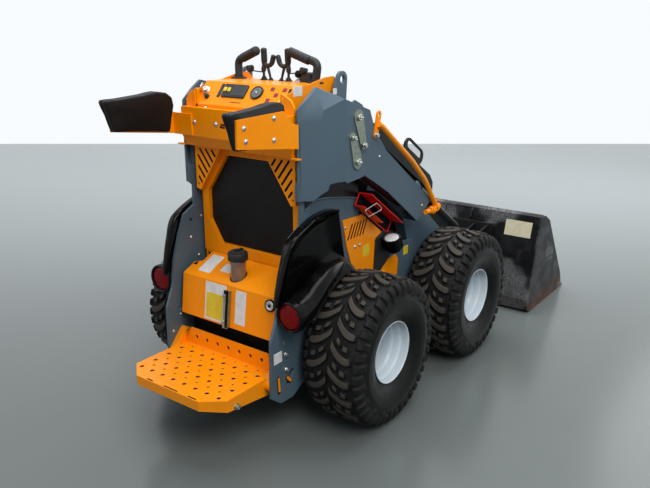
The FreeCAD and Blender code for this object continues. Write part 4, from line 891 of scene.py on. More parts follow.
def moulded_fenders():
    """The rear fenders, each a moulded tub with a mudguard lip and a lamp horn.

    Two parameters: one runs along the fender from its rear foot to its front edge, the other
    from the tyre's arc up to the outer rim. The surface stands off the cheek by a panel height
    plus a smooth step near the rim and a larger one near the tyre's arc. The horn is a round
    section of changing radius along a smooth path.
    """
    _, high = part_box("fender_right")
    axle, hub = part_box("rim_rear_right")
    top, face, reach = high.z, -high.y, 0.304
    turn = np.radians(np.array([146.0, 136.0, 123.3, 106.3, 95.0, 90.5]))
    arc = np.stack([(axle.x + hub.x) / 2 + reach * np.cos(turn),
                    (axle.z + hub.z) / 2 + reach * np.sin(turn)], -1)
    rim = np.array([(-1.0120, 0.548), (-1.0015, 0.600), (-0.9765, 0.683), (-0.938, 0.763),
                    (-0.827, 0.817), (-0.752, top - 0.002), (-0.705, top - 0.002),
                    (-0.668, top - 0.008)])
    along = np.linspace(0, 1, 90)
    ends = []
    for path in (smooth_path(arc, 24, 0.5), smooth_path(rim, 24, 0.5)):
        length = lengths(path)
        ends.append(at_lengths(path, length, along * length[-1])[:, None])
    arc, rim = ends
    part = np.concatenate([np.linspace(0, 0.3, 22, endpoint=False),
                           np.linspace(0.3, 0.75, 14, endpoint=False),
                           np.linspace(0.75, 1, 24)])[None, :, None]
    flat = arc + (rim - arc) * part
    wide = np.linalg.norm(rim - arc, axis=-1)
    from_arc, from_rim = part[..., 0] * wide, (1 - part[..., 0]) * wide
    from_front = (1 - along)[:, None] * 0.44
    swell = np.interp(along, [0, 0.15, 0.45, 1], [0.010, 0.016, 0.026, 0.028])[:, None]
    lip = swell * np.clip(1 - from_rim / 0.055, 0, 1) ** 2.0
    side_lip = 0.0240 * np.clip(1 - from_front / 0.075, 0, 1) ** 2.0
    guard = 0.066 * np.clip(1 - from_arc / 0.100, 0, 1) ** 2.4
    off = 0.0055 + np.maximum(np.maximum(lip, side_lip), guard)
    off = np.concatenate([off[:, :1] - 0.004, off, off[:, -1:] - 0.002,
                          np.full_like(off[:, :1], 0.0012)], 1)
    flat = np.concatenate([flat[:, :1], flat, flat[:, -1:] + (flat[:, -1:] - flat[:, -2:-1])
                           * 0.25, flat[:, -1:]], 1)
    path = smooth_path([  # x, y, z and radius
        (-0.9895, 0.329, 0.515, 0.0545), (-0.980, 0.329, 0.515, 0.0580),
        (-0.955, 0.329, 0.517, 0.0585), (-0.900, 0.328, 0.535, 0.0565),
        (-0.830, 0.326, 0.575, 0.0500), (-0.750, 0.322, 0.606, 0.0380),
        (-0.680, 0.316, 0.620, 0.0230), (-0.640, 0.310, 0.622, 0.0100)], 8, 0.5)
    ring = angles(48)[None, :]
    for name, side in SIDES:
        way = -side
        points = np.stack([flat[..., 0], side * (face + off), flat[..., 1]], -1)
        piece = Shell().grid(points[:, ::way], around=False, caps=False).put(
            "moulded_fender_" + name, "black_plastic", angle=50)
        wall = piece.modifiers.new("wall", "SOLIDIFY")
        wall.thickness = 0.004
        wall.offset = -1.0
        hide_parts("fender_" + name)
        across = np.maximum(path[:, 1:2] + path[:, 3:] * np.cos(ring), face + 0.002)
        horn = np.stack(np.broadcast_arrays(path[:, :1], side * across, path[:, 2:3]
                                            + path[:, 3:] * np.sin(ring)), -1)
        Shell().grid(horn[:, ::side]).put("lamp_horn_" + name, "black_plastic", angle=60)


def deep_rims():
    """The rims, turned from one closed profile: bead seats, a drop centre and a deep disc; and
    the wheel motors behind them."""
    profile = np.array([
        (0.1030, 0.1345), (0.1022, 0.1312), (0.0985, 0.1290), (0.0700, 0.1272),
        (0.0660, 0.1235), (0.0600, 0.1205), (0.0400, 0.1165), (0.0330, 0.1100),
        (0.0250, 0.1065), (-0.0380, 0.1050), (-0.0500, 0.1020), (-0.0560, 0.0940),
        (-0.0530, 0.0780), (-0.0470, 0.0700), (-0.0470, 0.0440), (-0.0540, 0.0410),
        (-0.0560, 0.0425), (-0.0550, 0.0700), (-0.0640, 0.0800), (-0.0660, 0.1000),
        (-0.0600, 0.1090), (-0.0750, 0.1180), (-0.0985, 0.1290), (-0.1022, 0.1312),
        (-0.1030, 0.1345), (-0.1010, 0.1360), (-0.0990, 0.1345), (-0.0950, 0.1330),
        (-0.0700, 0.1310), (-0.0640, 0.1260), (-0.0400, 0.1130), (0.0200, 0.1110),
        (0.0290, 0.1150), (0.0380, 0.1210), (0.0620, 0.1245), (0.0680, 0.1305),
        (0.0950, 0.1330), (0.0990, 0.1345), (0.1010, 0.1360)])
    bore, squeeze = 0.042, 0.862
    profile[:, 1] = bore + (profile[:, 1] - bore) * squeeze
    turn = angles(96)
    motors = Shell()
    for name, side in WHEELS:
        low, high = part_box("rim_" + name)
        x, y, z = np.array(low + high) / 2
        ring = np.stack(np.broadcast_arrays(
            x + profile[:, 1:] * np.cos(turn), y + side * profile[:, :1],
            z + profile[:, 1:] * np.sin(turn)), -1)
        Shell().grid(ring[:, ::side], along=True).put(
            "deep_rim_" + name, "silver_paint", "wheel_" + name, angle=24,
            replaces="rim_" + name)
        seat, circle = flank_seat(side, 0.2738, x, z), 0.0635
        motors.lathe([(0.072, 0), (0.074, 0.002), (0.074, 0.014), (0.070, 0.016),
                      (0.056, 0.016), (0.054, 0.050), (0.050, 0.054), (0.048, 0.054),
                      (0.046, 0.074), (0.064, 0.076), (0.066, 0.078), (0.066, 0.0895),
                      (0.0405, 0.0905), (0.0400, 0.104), (0.036, 0.108), (0.024, 0.110)],
                     seat, 48)
        motors.each(bolt, [moved(seat, circle * math.cos(spin), circle * math.sin(spin), 0.016)
                           for spin in np.arange(6) * TAU / 6], 0.013, False)
    motors.put("hub_motors", "black_paint", replaces="wheel_motors")


def add_rim_parts():
    """Wheel nuts and valve of each rim."""
    for name, side in WHEELS:
        low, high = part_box("rim_" + name)
        x, z = (low.x + high.x) / 2, (low.z + high.z) / 2
        disc = abs(low.y + high.y) / 2 - 0.0470
        circle = 0.055
        Shell().each(bolt, [
            flank_seat(side, disc, x + circle * math.cos(turn), z + circle * math.sin(turn))
            for turn in np.arange(5) * TAU / 5 + 0.3], 0.019, True, 0.7).put(
                "wheel_nuts_" + name, "zinc_steel", "wheel_" + name)
        steps = np.linspace(0, 0.032, 12)
        width = np.interp(steps, [0, 0.006, 0.008, 0.02, 0.022, 0.032],
                          [0.0075, 0.006, 0.0045, 0.004, 0.0048, 0.0040])
        path = (np.array([x + 0.010, side * 0.486, z + 0.094])
                + unit([0.05, side, -0.55]) * (steps[:, None] - 0.016))
        Shell().sweep(path, width, AHEAD).put("tyre_valve_" + name, "matt_plastic",
                                              "wheel_" + name)


def deck_collars():
    """Raised collars round the deck's holes, and dark sleeves in its holes and slots that paint
    the shade under the deck.
    """
    low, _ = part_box("platform")
    pitch, gap = 0.066, 0.057
    collars, hole_shades = Shell(), Shell()
    for row in range(4):
        for count, start, radius, sides in ((8, 0.058, 0.0075, 16), (7, 0.091, 0.0042, 12)):
            for column in range(count):
                seat = level_seat(low.x + start + pitch * row,
                                  gap * (column - (count - 1) / 2), DECK_TOP)
                collar(collars, seat, radius)
                # Painted shade: a dark sleeve down each hole.
                hole_shades.lathe([(radius + 0.0001, -0.0020), (radius + 0.0001, 0.0003)],
                              seat, sides)
    collars.put("deck_collars", "amber_paint", "platform", angle=60)
    # Painted shade in the deck's three slots: thin dark plates.
    for across, long in ((0.095, 0.026), (-0.014, 0.066), (-0.122, 0.036)):
        seat = seat_frame((low.x + 0.007, across, DECK_TOP), UP, (0, 1, 0))
        hole_shades.plate(0.0060, long + 0.0060, 0.0030, 0.0003, seat, 0.0001, 0.002, 16)
    hole_shades.put("painted_shade_holes", "painted_shade_lining", "platform")


def pad_shell(corners, thick, seat, crown=0.004, edge=0.013, draw=0.0025, thin=0.0):
    """A stuffed pad: its outline draws in between corners, its rim is a quarter round and its
    face swells as one minus the square of the way out from the middle. Its foot is thinner
    than its top by the share called thin."""
    corners = outline_for(corners, seat)
    outline = resample(polygon_outline(corners, 0.008, 12), 192)
    gap = np.linalg.norm(outline[:, None] - corners[None], axis=-1).min(1)
    outline = drawn_in(outline, (draw * ease((gap - 0.02) / 0.05))[:, None])
    seam = thick * 0.42
    rings = [(0.004, 0.0), (0, 0.004), (0, seam - 0.0022), (0.0013, seam - 0.0008),
             (0.0013, seam + 0.0008), (0, seam + 0.0022), (0, thick - edge)]
    rings += [(edge * (1 - math.cos(turn)), thick - edge + edge * math.sin(turn))
              for turn in np.linspace(0.12, math.pi / 2, 7)]
    lines = [drawn_in(outline, inset) for inset, _ in rings]
    heights = [height for _, height in rings]
    middle, rim = outline.mean(0), lines[-1]
    for part in (0.93, 0.85, 0.74, 0.6, 0.45, 0.3, 0.15, 0.04):
        lines.append(middle + (rim - middle) * part)
        heights.append(thick + crown * (1 - part ** 2))
    low, high = outline[:, 1].min(), outline[:, 1].max()
    local = np.stack([np.concatenate(
        [line, height * (1 - thin * (high - line[:, 1:]) / (high - low))], -1)
        for line, height in zip(lines, heights)])
    return Shell().grid(at_seat(local, seat))


def add_pads():
    """The two side pads and the knee panel."""
    shape = {
        "left": [(-1.241, 1.238), (-1.198, 1.128), (-0.944, 1.099), (-0.930, 1.196),
                 (-0.940, 1.226), (-0.968, 1.245), (-1.010, 1.252)],
        "right": [(-1.212, 1.230), (-1.186, 1.117), (-0.962, 1.101), (-0.955, 1.215),
                  (-0.958, 1.236), (-0.975, 1.2455), (-1.010, 1.247)]}
    for name, side in SIDES:
        seat = seat_frame((0, side * 0.2952, 0), (0, -side, 0))
        piece = pad_shell(shape[name], 0.0445, seat, edge=0.009, thin=0.5).put(
            "hip_pad_" + name, "pad_vinyl", angle=80, replaces="side_pad_" + name)
    low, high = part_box("knee_panel")
    half, base, top = high.y, low.z, high.z
    right = [(half * 0.51, top), (half, top - 0.148), (half, base + 0.092), (half * 0.73, base)]
    corners = right + [(-across, up) for across, up in reversed(right)]
    piece = pad_shell(corners, 0.0125, seat_frame((high.x, 0, 0), BACK), 0.005, 0.006,
                      0.0006).put("knee_pad", "knee_vinyl", angle=80, replaces="knee_panel")


# ---------------------------------------------------------------- console
def add_instruments():
    """The console's display, gauge, blank warning squares, key switch and blank labels."""
    def panel(along, across):
        """A place on the console's sloping panel."""
        return from_top("console", along, across)

    screen, gauge = panel(-0.826, 0.046), panel(-0.826, -0.060)
    Shell().plate(0.113, 0.056, 0.006, 0.006, screen, 0.0015).put(
        "display_housing", "matt_plastic")
    Shell().plate(0.062, 0.042, 0.003, 0.0008, moved(screen, 0.021, 0, 0.006), 0.0003).put(
        "display_window", "dark_glass")
    keys = Shell()
    for across in (-0.045, -0.026):
        keys.plate(0.013, 0.017, 0.003, 0.004, moved(screen, across, 0.002, 0.006), 0.001)
    keys.put("display_keys", "yellow_plate", slot="black_rubber")
    Shell().lathe([(0.0270, -0.0004), (0.0270, 0.0050), (0.0255, 0.0072), (0.0228, 0.0072),
                   (0.0222, 0.0052), (0.0222, 0.0035)], gauge, 40).put(
                       "gauge_bezel", "matt_plastic")
    Shell().lathe([(0.0221, 0.003), (0.0221, 0.0050), (0.001, 0.0050)], gauge, 40).put(
        "gauge_dial", "gauge_face")
    marks = Shell()
    for turn in np.linspace(-135, 135, 10):
        marks.plate(0.0010, 0.0042, 0.0004, 0.0004,
                    moved(turned(gauge, turn), 0, 0.0180, 0.0050), 0.0001, count=8)
    marks.plate(0.0012, 0.0170, 0.0005, 0.0006, moved(turned(gauge, 62), 0, 0.0070, 0.0053),
                0.0001, count=8)
    marks.lathe([(0.003, 0.005), (0.003, 0.0068), (0.002, 0.0074)], gauge, 12)
    marks.put("gauge_marks", "white_plate", slot="black_rubber")
    squares = Shell()
    for along, across in ((-0.813, -0.122), (-0.813, -0.177), (-0.828, -0.148),
                          (-0.843, -0.122)):
        squares.plate(0.019, 0.0165, 0.001, 0.0008, panel(along, across))
    squares.put("blank_red_squares", "red_plate")
    Shell().plate(0.017, 0.0145, 0.001, 0.0008, panel(-0.843, -0.177)).put(
        "blank_yellow_square", "yellow_plate")
    Shell().plate(0.016, 0.060, 0.001, 0.0009, panel(-0.826, 0.118)).put(
        "blank_console_plate", "matt_plastic")
    place = panel(-0.829, 0.188)
    switch = Shell().lathe([(0.0160, -0.0004), (0.0160, 0.004), (0.0140, 0.006),
                            (0.0120, 0.006), (0.0120, 0.013), (0.0105, 0.015),
                            (0.0070, 0.015), (0.0065, 0.0135)], place, 32)
    switch.plate(0.004, 0.019, 0.0015, 0.024, moved(place, out=0.0135), 0.001)
    switch.put("key_switch", "bright_steel")
    Shell().lathe([(0.010, -0.0004), (0.010, 0.003), (0.0075, 0.004), (0.0072, 0.011),
                   (0.0055, 0.0128)], panel(-0.846, 0.170), 20).put(
                       "starter_button", "matt_plastic")
    slots = Shell().plate(0.0115, 0.064, 0.002, 0.0008, panel(-0.829, -0.2005))
    slots.plate(0.003, 0.050, 0.001, 0.0008, turned(panel(-0.856, 0.020), 90))
    slots.plate(0.008, 0.024, 0.002, 0.0008, turned(from_rear("cross_beam", 0.045, 1.137), 90))
    slots.put("dark_slots", "matt_plastic")


def add_console_cheeks():
    """The folded cheeks that close the console's rear corners against the side plates."""
    cheeks, seat = Shell(), seat_frame((-0.868, 0, 0), BACK)
    corners = np.array([(0.200, 1.184), (0.2615, 1.184), (0.2615, 1.214), (0.246, 1.240),
                        (0.200, 1.262)])
    for side in (LEFT, RIGHT):
        line = resample(polygon_outline(outline_for(corners * (side, 1), seat), 0.006, 8), 96)
        cheeks.layers([line, line, drawn_in(line, 0.0008)], (-0.008, -0.0008, 0.0), seat)
    cheeks.put("console_cheeks", "amber_paint")


def add_controls():
    """Ribbed sleeves and flanges on the grab handles; boots, forks and knobs of the levers."""
    for name, side in SIDES:
        start = np.array([-0.654, side * 0.166, 1.3570])
        end = np.array([-0.666, side * 0.079, 1.3887])
        part = np.linspace(0, 1, 120)
        ribs = 0.5 + 0.5 * np.sin(part * 9 * TAU)
        rolled = np.sqrt(np.clip(1 - (1 - np.clip(np.minimum(part, 1 - part) / 0.05, 0, 1)) ** 2,
                                 0.02, 1))
        Shell().sweep(start + (end - start) * (part[:, None] + 0.02),
                      (0.0163 + 0.0014 * ribs) * (0.6 + 0.4 * rolled), AHEAD, 20).put(
                          "handle_grip_" + name, "black_rubber", angle=60)
        seat = level_seat(-0.652, side * 0.188, SHELF_TOP)
        flange = Shell().lathe([(0.030, -0.0004), (0.030, 0.004), (0.0285, 0.0052),
                                (0.0172, 0.0052), (0.0165, 0.014)], seat, 32)
        flange.each(button_screw, [moved(seat, across, 0, 0.005)
                                   for across in (0.0225, -0.0225)], 0.0085)
        flange.put("handle_flange_" + name, "black_rubber")
        high = np.linspace(0, 1, 45)
        folds = 0.0032 * np.abs(np.sin(high * 5 * math.pi))
        profile = np.stack([0.024 - 0.014 * high + folds, 0.026 * high - 0.0004], -1)
        profile = np.concatenate([[(0.030, -0.0004), (0.030, 0.003)], profile])
        boot = Shell()
        for across, size in ((0.060, 0.55), (0.026, 0.40)):
            boot.lathe(profile * size, level_seat(LEVER_X, side * across, SHELF_TOP + 0.0002),
                       28)
        boot.put("lever_boot_" + name, "matt_plastic", angle=60)
        fork = Shell()
        # Each bar: its path as (x from the levers' plane, across, height), then (share of the
        # length, radius) pairs.
        for places, widths in (
                ([(0, 0.060, 1.283), (0, 0.061, 1.318), (0.001, 0.058, 1.352),
                  (-0.001, 0.058, 1.399)],
                 [(0, 0.0050), (0.24, 0.0050), (0.28, 0.0090), (0.40, 0.0098), (0.52, 0.0078),
                  (0.58, 0.0105), (0.66, 0.0120), (0.95, 0.0118), (0.99, 0.0085),
                  (1, 0.0030)]),
                ([(0, 0.055, 1.338), (0, 0.036, 1.333), (0, 0.020, 1.343), (0, 0.009, 1.374)],
                 [(0, 0.0085), (0.30, 0.0080), (0.55, 0.0088), (0.80, 0.0100), (0.96, 0.0095),
                  (1, 0.0030)]),
                ([(0, 0.043, 1.335), (0, 0.034, 1.310), (0, 0.026, 1.282)],
                 [(0, 0.0062), (1, 0.0042)]),
                ([(0, 0.060, 1.309), (0, 0.085, 1.310), (0, 0.121, 1.312)],
                 [(0, 0.0024), (1, 0.0024)])):
            path = smooth_path([(LEVER_X + x, side * y, z) for x, y, z in places], 14)
            radius = np.interp(np.linspace(0, 1, len(path)), *np.array(widths).T)
            fork.sweep(path, radius, AHEAD, 18)
        paddle = seat_frame((LEVER_X, side * 0.121, 1.318), (0, side, 0.25))
        fork.lathe([(0.0125, 0), (0.0150, 0.003), (0.0150, 0.006), (0.0110, 0.014),
                    (0.0070, 0.026), (0.0060, 0.0275)], paddle, 28)
        fork.put("lever_fork_" + name, "black_rubber", angle=50,
                 replaces="control_levers" if side == LEFT else None)
    throttle = Shell().sweep([(LEVER_X, -0.107, 1.279), (LEVER_X, -0.107, 1.296)], 0.0050,
                             AHEAD, 16)
    throttle.lathe([(0.0125, 0), (0.0125, 0.006), (0.0080, 0.010)],
                   level_seat(LEVER_X, -0.107, SHELF_TOP))
    throttle.put("throttle_stem", "bright_steel")
    turn = np.linspace(-math.pi / 2, math.pi / 2, 17)[1:-1]
    Shell().lathe(0.0142 * np.stack([np.cos(turn), np.sin(turn)], -1),
                  level_seat(LEVER_X, -0.107, 1.3080), 28).put(
                      "throttle_knob", "black_plastic", slot="black_rubber", angle=60)
    Shell().plate(0.056, 0.050, 0.005, 0.034, from_top("console", -0.628, -0.138), 0.003,
                  0.0004).put("relay_box", "matt_plastic")


# ---------------------------------------------------------------- fasteners and plates
def both_flanks(node, places):
    """Places (x, z) on the outer faces of a node, or of a left and right pair of nodes."""
    return [from_side(node + "_" + name if node == "side_plate" else node, along, height, side)
            for name, side in SIDES for along, height in places]


def add_bolts():
    """Hexagon bolts and domed screws over the whole machine."""
    beam = Shell().each(button_screw, [from_rear("cross_beam", across, 1.137)
                                       for across in (0.190, 0.080, -0.080, -0.190)], 0.015)
    beam.each(button_screw, both_flanks("pad_brackets", (
        (-1.162, 1.185), (-1.156, 1.144), (-1.022, 1.201), (-1.024, 1.132))), 0.014)
    beam.each(button_screw, [from_top("cross_beam", -0.874, side * 0.155)
                             for _, side in SIDES], 0.011)
    beam.put("beam_screws", "bright_steel")
    plates = Shell()
    for name, side in SIDES:
        plates.each(button_screw, [
            seat_on("side_plate_" + name, (along, 0, height), (0, side, 0))
            for along, height in ((-0.822, 0.750), (-0.883, 0.674), (-0.846, 0.590),
                                  (-1.005, 0.310), (-0.962, 0.372))], 0.011)
    plates.each(bolt, both_flanks("side_plate", ((-0.951, 0.343), (-0.949, 0.282))), 0.013)
    plates.each(button_screw, both_flanks("side_vents", ((-0.519, 0.642), (-0.485, 0.642))),
                0.012)
    plates.each(button_screw, both_flanks("side_vents", ((-0.588, 0.735),)), 0.010)
    plates.put("cheek_screws", "bright_steel")
    Shell().each(bolt, both_flanks("side_plate", ((0.215, 0.230), (0.300, 0.230))), 0.016).put(
        "front_plate_bolts", "zinc_steel")
    Shell().each(bolt, both_flanks("platform", ((-1.175, 0.222),)), 0.017).put(
        "deck_bolts", "zinc_steel", "platform")
    arms = Shell().each(button_screw, both_flanks("boom_frame", (
        (-0.462, 1.001), (-0.112, 0.738))), 0.010)
    arms.each(bolt, both_flanks("hose_guards", ((-0.498, 1.088),)), 0.015)
    arms.put("boom_bolts", "bright_steel", "boom")
    for name, side in SIDES:
        pins = Shell().each(bolt, [from_side("pivot_pins", along, height, side)
                                   for along, height in ((-0.602, 1.065), (-0.669, 1.099))],
                            0.015)
        for along, height in ((-0.631, 1.168), (-0.635, 1.009)):
            seat = from_side("pivot_pins", along, height, side)
            pins.lathe([(0.0125, -0.0004), (0.0125, 0.0014), (0.0105, 0.0030),
                        (0.0065, 0.0030), (0.0055, 0.0016)], seat, 28)
            grease_nipple(pins, moved(seat, out=0.0016))
        pins.put("pin_fasteners_" + name, "bright_steel")


def add_plates():
    """Blank plates and labels, each a film or a thin sheet on its surface."""
    for name, width, height, seat, look in (
            ("blank_tank_label_left", 0.110, 0.150, from_rear("tank_cover", 0.062, 0.468),
             "white_plate"),
            ("blank_tank_field", 0.086, 0.100,
             moved(from_rear("tank_cover", 0.066, 0.452), out=0.0006), "yellow_plate"),
            ("blank_tank_label_right", 0.052, 0.130, from_rear("tank_cover", -0.067, 0.474),
             "white_plate"),
            ("blank_tank_top_label", 0.062, 0.098, from_top("tank_cover", -0.880, 0.158),
             "white_plate"),
            ("blank_filler_label", 0.052, 0.044, from_top("tank_cover", -0.882, 0.066),
             "white_plate"),
            ("blank_cheek_plate", 0.045, 0.043,
             from_side("side_plate_right", -0.994, 0.345, RIGHT), "white_plate"),
            ("blank_vent_label", 0.046, 0.046, from_side("side_vents", -0.437, 0.606, RIGHT),
             "yellow_plate"),
            ("blank_flank_label", 0.040, 0.040, flank_seat(RIGHT, 0.2680, -0.096, 0.517),
             "yellow_plate"),
            ("blank_eye_label", 0.024, 0.022, from_side("lift_eyes", -0.606, 1.250, RIGHT),
             "white_plate")):
        Shell().plate(width, height, 0.002, 0.0007, seat).put(name, look)
    Shell().plate(0.050, 0.034, 0.001, 0.0008, from_side("console", -0.790, 1.262, RIGHT)).put(
        "blank_cheek_label", "white_plate")
    Shell().plate(0.146, 0.084, 0.001, 0.0012, from_rear("bucket", -0.440, 0.436)).put(
        "blank_bucket_plate", "cream_plate", "tool")


def add_slot_shades_and_links():
    """Dark plates over the slots of the shroud's vent boxes, the side vents and the hanger
    plates, which paint the shade inside them, and the amber links that show in the hanger
    plates' slots."""
    _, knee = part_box("knee_panel")
    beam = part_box("cross_beam")[0].z
    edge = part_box("side_plate_left")[0].y
    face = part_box("rear_shroud")[0].x
    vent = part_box("side_vents")[1].y
    shroud_tilt, vent_tilt = 36.87, 26.6
    slot_shade, link = Shell(), Shell()
    # Painted shade: each slot is covered by a thin dark plate.
    for side in (LEFT, RIGHT):
        for share in 0.16 + 0.145 * np.arange(6):
            across = knee.y * (0.51 + 0.49 * share) + 0.017
            up = knee.z - 0.148 * share + 0.020
            run = min((beam - 0.017 - up) / 0.8, (edge - 0.031 - across) / 0.6)
            seat = seat_frame((face, side * (across + run * 0.3), up + run * 0.4), BACK)
            slot_shade.plate(0.0088, run + 0.0088, 0.0044, 0.0005,
                         turned(seat, side * shroud_tilt), 0.0001, count=24)
        for row in range(6):
            seat = flank_seat(side, vent, -0.554 + 0.0208 * row, 0.711)
            slot_shade.plate(0.0074, 0.0700, 0.0037, 0.0005, turned(seat, side * vent_tilt),
                         0.0001, count=24)
        slot_shade.plate(0.007, 0.007, 0.0035, 0.0005,
                     seat_frame((face, side * (edge - 0.026), 0.890), BACK), 0.0001, count=16)
        for along, long, tilt in ((-0.993, 0.064, 4), (-0.936, 0.040, 42)):
            seat = turned(flank_seat(side, CHEEK_FACE, along, 0.236), side * -tilt)
            slot_shade.plate(0.0170, long + 0.006, 0.0080, 0.0005, seat, 0.0001, 0.002, 24)
            link.plate(0.0110, long - 0.004, 0.0050, 0.0009, moved(seat, 0.002), 0.0001, 0.001,
                       24)
    link.put("slot_links", "amber_paint")
    slot_shade.put("slot_painted_shade", "painted_shade_lining")


# ---------------------------------------------------------------- lamps and tank
def dome(radius, rise, last, foot=()):
    """A lens profile: a quarter ellipse up from its rim, closed by one last small ring."""
    turn = np.linspace(0, math.pi / 2, 7)[:-1]
    curve = np.stack([radius * np.cos(turn), rise * np.sin(turn)], -1)
    return list(foot) + curve.tolist() + [last]


def add_lamps():
    """Tail lamp rims and lenses, and the clear lenses and rims of the work lights."""
    lenses = Shell()
    for name, side in SIDES:
        seat = seat_frame((-0.9910, side * LAMP_Y, LAMP_Z), BACK)
        lenses.lathe(dome(0.0470, 0.0080, (0.004, 0.0079), [(0.0470, -0.030)]), seat, 48)
        Shell().lathe([(0.0580, -0.004), (0.0580, 0.002), (0.0565, 0.0060), (0.0530, 0.0085),
                       (0.0500, 0.0080), (0.0474, 0.0050), (0.0472, 0.0)], seat, 48).put(
                           "tail_rim_" + name, "black_plastic")
        lamp = from_top("work_lights", -0.310, side * 0.322)
        Shell().lathe(dome(0.0310, 0.006, (0.003, 0.0059)), lamp, 40).put(
            "work_lens_" + name, "clear_lens", angle=60)
        Shell().lathe([(0.0385, -0.002), (0.0385, 0.003), (0.0370, 0.0045), (0.0330, 0.0045),
                       (0.0311, 0.0025), (0.0311, 0.0)], lamp, 40).put(
                           "work_rim_" + name, "matt_plastic", slot="black_plastic")
    lenses.put("tail_lenses", "red_lens", angle=60, replaces="tail_lights")


def add_tank_parts():
    """The moulded tank, its smoked neck and knurled cap, the cover's lock, catches and latch."""
    low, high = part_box("fuel_tank")
    x, y = -0.902, -0.008
    Shell().lathe([(0.0290, -0.060), (0.0290, 0.104), (0.0306, 0.107), (0.0306, 0.112),
                   (0.0291, 0.115), (0.0291, 0.122)], level_seat(x, y, 0.519), 48).put(
                       "filler_neck", "tank_neck")
    wide, deep = high.y - low.y, high.x - low.x
    rings = ((0.008, 0), (0.002, 0.002), (0.0, 0.008), (0.0, 0.050), (0.0015, 0.053),
             (0.0, 0.056), (0.0, 0.092), (0.002, 0.098), (0.008, 0.100))
    Shell().layers([round_oblong(wide - 2 * inset, deep - 2 * inset, 0.020, 64)
                    for inset, _ in rings], [height for _, height in rings],
                   level_seat((low.x + high.x) / 2, 0, low.z)).put(
                       "moulded_tank", "matt_plastic", slot="black_plastic",
                       replaces="fuel_tank")
    seat = level_seat(x, y, high.z - 0.0439)
    knurl = 1 + 0.012 * np.sign(np.sin(angles(96) * 24))
    cap = Shell().lathe([(0.0374, -0.0004), (0.0380, 0.001), (0.0380, 0.0255),
                         (0.0365, 0.0282)], seat, 96, knurl)
    cap.lathe([(0.0300, 0.026), (0.0300, 0.0330), (0.0275, 0.0345), (0.0100, 0.0352)], seat, 48)
    cap.plate(0.011, 0.054, 0.004, 0.0065, moved(seat, out=0.033), 0.0015)
    cap.put("filler_cap", "matt_plastic", slot="black_plastic")
    seat = seat_frame((-0.9610, -0.2120, 0.5200), (-1, 0, 0.12))
    lock = Shell().lathe([(0.0185, -0.006), (0.0185, 0.0015), (0.0165, 0.0035),
                          (0.0115, 0.0035), (0.0105, 0.0020), (0.0080, 0.0020)], seat, 36)
    lock.plate(0.0022, 0.0100, 0.0008, 0.0030, moved(seat, out=0.0018), 0.0004, count=12)
    lock.put("cover_lock", "bright_steel")
    seals = Shell().lathe([(0.0232, -0.007), (0.0232, 0.0010), (0.0215, 0.0026),
                           (0.0190, 0.0026), (0.0186, 0.0006)], seat, 40)
    seals.plate(0.0075, 0.0130, 0.0034, 0.0042, moved(seat, out=0.0014), 0.0004, count=16)
    seals.plate(0.010, 0.146, 0.003, 0.0030, from_rear("tank_latch", -0.0105, 0.4610))
    seals.plate(0.018, 0.014, 0.004, 0.0060, from_rear("tank_latch", -0.0060, 0.5270), 0.0010)
    for side in (LEFT, RIGHT):
        catch = seat_frame((-0.880, side * 0.226, 0.566), (0, side * 0.5, 0.86), AHEAD)
        seals.plate(0.020, 0.046, 0.006, 0.012, catch, 0.002, 0.003)
    seals.put("lock_seals", "black_plastic")
    Shell().each(button_screw, [from_rear("tank_latch", 0.005, height)
                                for height in (0.410, 0.512)], 0.0105).put(
                                    "latch_screws", "zinc_steel")


# ---------------------------------------------------------------- sheet metal
def add_arches():
    """A black band under each tower housing that paints the shadow the housing casts on the
    cheek, with the rolled edge of the cheek, and the gussets that fill the gap at the towers'
    rear feet."""
    band, roll, gusset = Shell(), Shell(), Shell()
    plate = [(-0.8725, 0.896), (-0.828, 0.858), (-0.820, 0.960), (-0.8725, 0.960)]
    edge = smooth_path([(-0.832, 0.854), (-0.815, 0.864), (-0.784, 0.8785), (-0.735, 0.8790),
                        (-0.680, 0.8720), (-0.625, 0.8620), (-0.572, 0.8520),
                        (-0.497, 0.8345)], 6, 0.5)
    for side in (LEFT, RIGHT):
        seat = flank_seat(side, CHEEK_FACE)
        outline = outline_for(np.concatenate([edge, [(-0.497, 0.965), (-0.832, 0.965)]]), seat)
        # Painted shadow: a black sheet on the cheek under the housing's curved lower edge, where
        # its shade falls.
        band.layers([outline, outline], (-0.0005, 0.0022), seat)
        gusset.sheet(plate, seat, 0.003, -0.0110, -0.0003, 64)
        roll.sweep(np.insert(edge, 1, side * 0.2745, 1), 0.0042)
    band.put("painted_shadow_arches", "painted_shadow_black", angle=60)
    gusset.put("cheek_gussets", "grey_paint")
    roll.put("cheek_rolls", "grey_paint", angle=60)


def add_flank_sheets():
    """The flank plates behind the work lights, the side vents' lower lobes and the dark
    brackets between."""
    lobe, bracket, flank = Shell(), Shell(), Shell()
    for side in (LEFT, RIGHT):
        seat = flank_seat(side, 0.2742)
        lobe.sheet([(-0.352, 0.430), (-0.186, 0.430), (-0.180, 0.500), (-0.196, 0.524),
                    (-0.270, 0.522), (-0.318, 0.506), (-0.340, 0.480)], seat, 0.006, 0, 0.005)
        button_screw(lobe, flank_seat(side, 0.2792, -0.298, 0.474), 0.012)
        bracket.sheet([(-0.385, 0.470), (-0.330, 0.492), (-0.262, 0.534), (-0.224, 0.560),
                       (-0.235, 0.640), (-0.300, 0.665), (-0.372, 0.640)], seat, 0.012,
                      -0.001, 0.010)
        flank.sheet([(-0.335, 0.440), (-0.127, 0.425), (0.020, 0.425), (0.026, 0.486),
                     (-0.040, 0.556), (-0.110, 0.566), (-0.200, 0.588), (-0.335, 0.560)],
                    flank_seat(side, 0.2640), 0.012, 0, 0.004, 128, 8)
    lobe.put("vent_lobes", "amber_paint")
    bracket.put("lamp_brackets", "matt_plastic", slot="black_plastic")
    flank.put("flank_plates", "grey_paint")


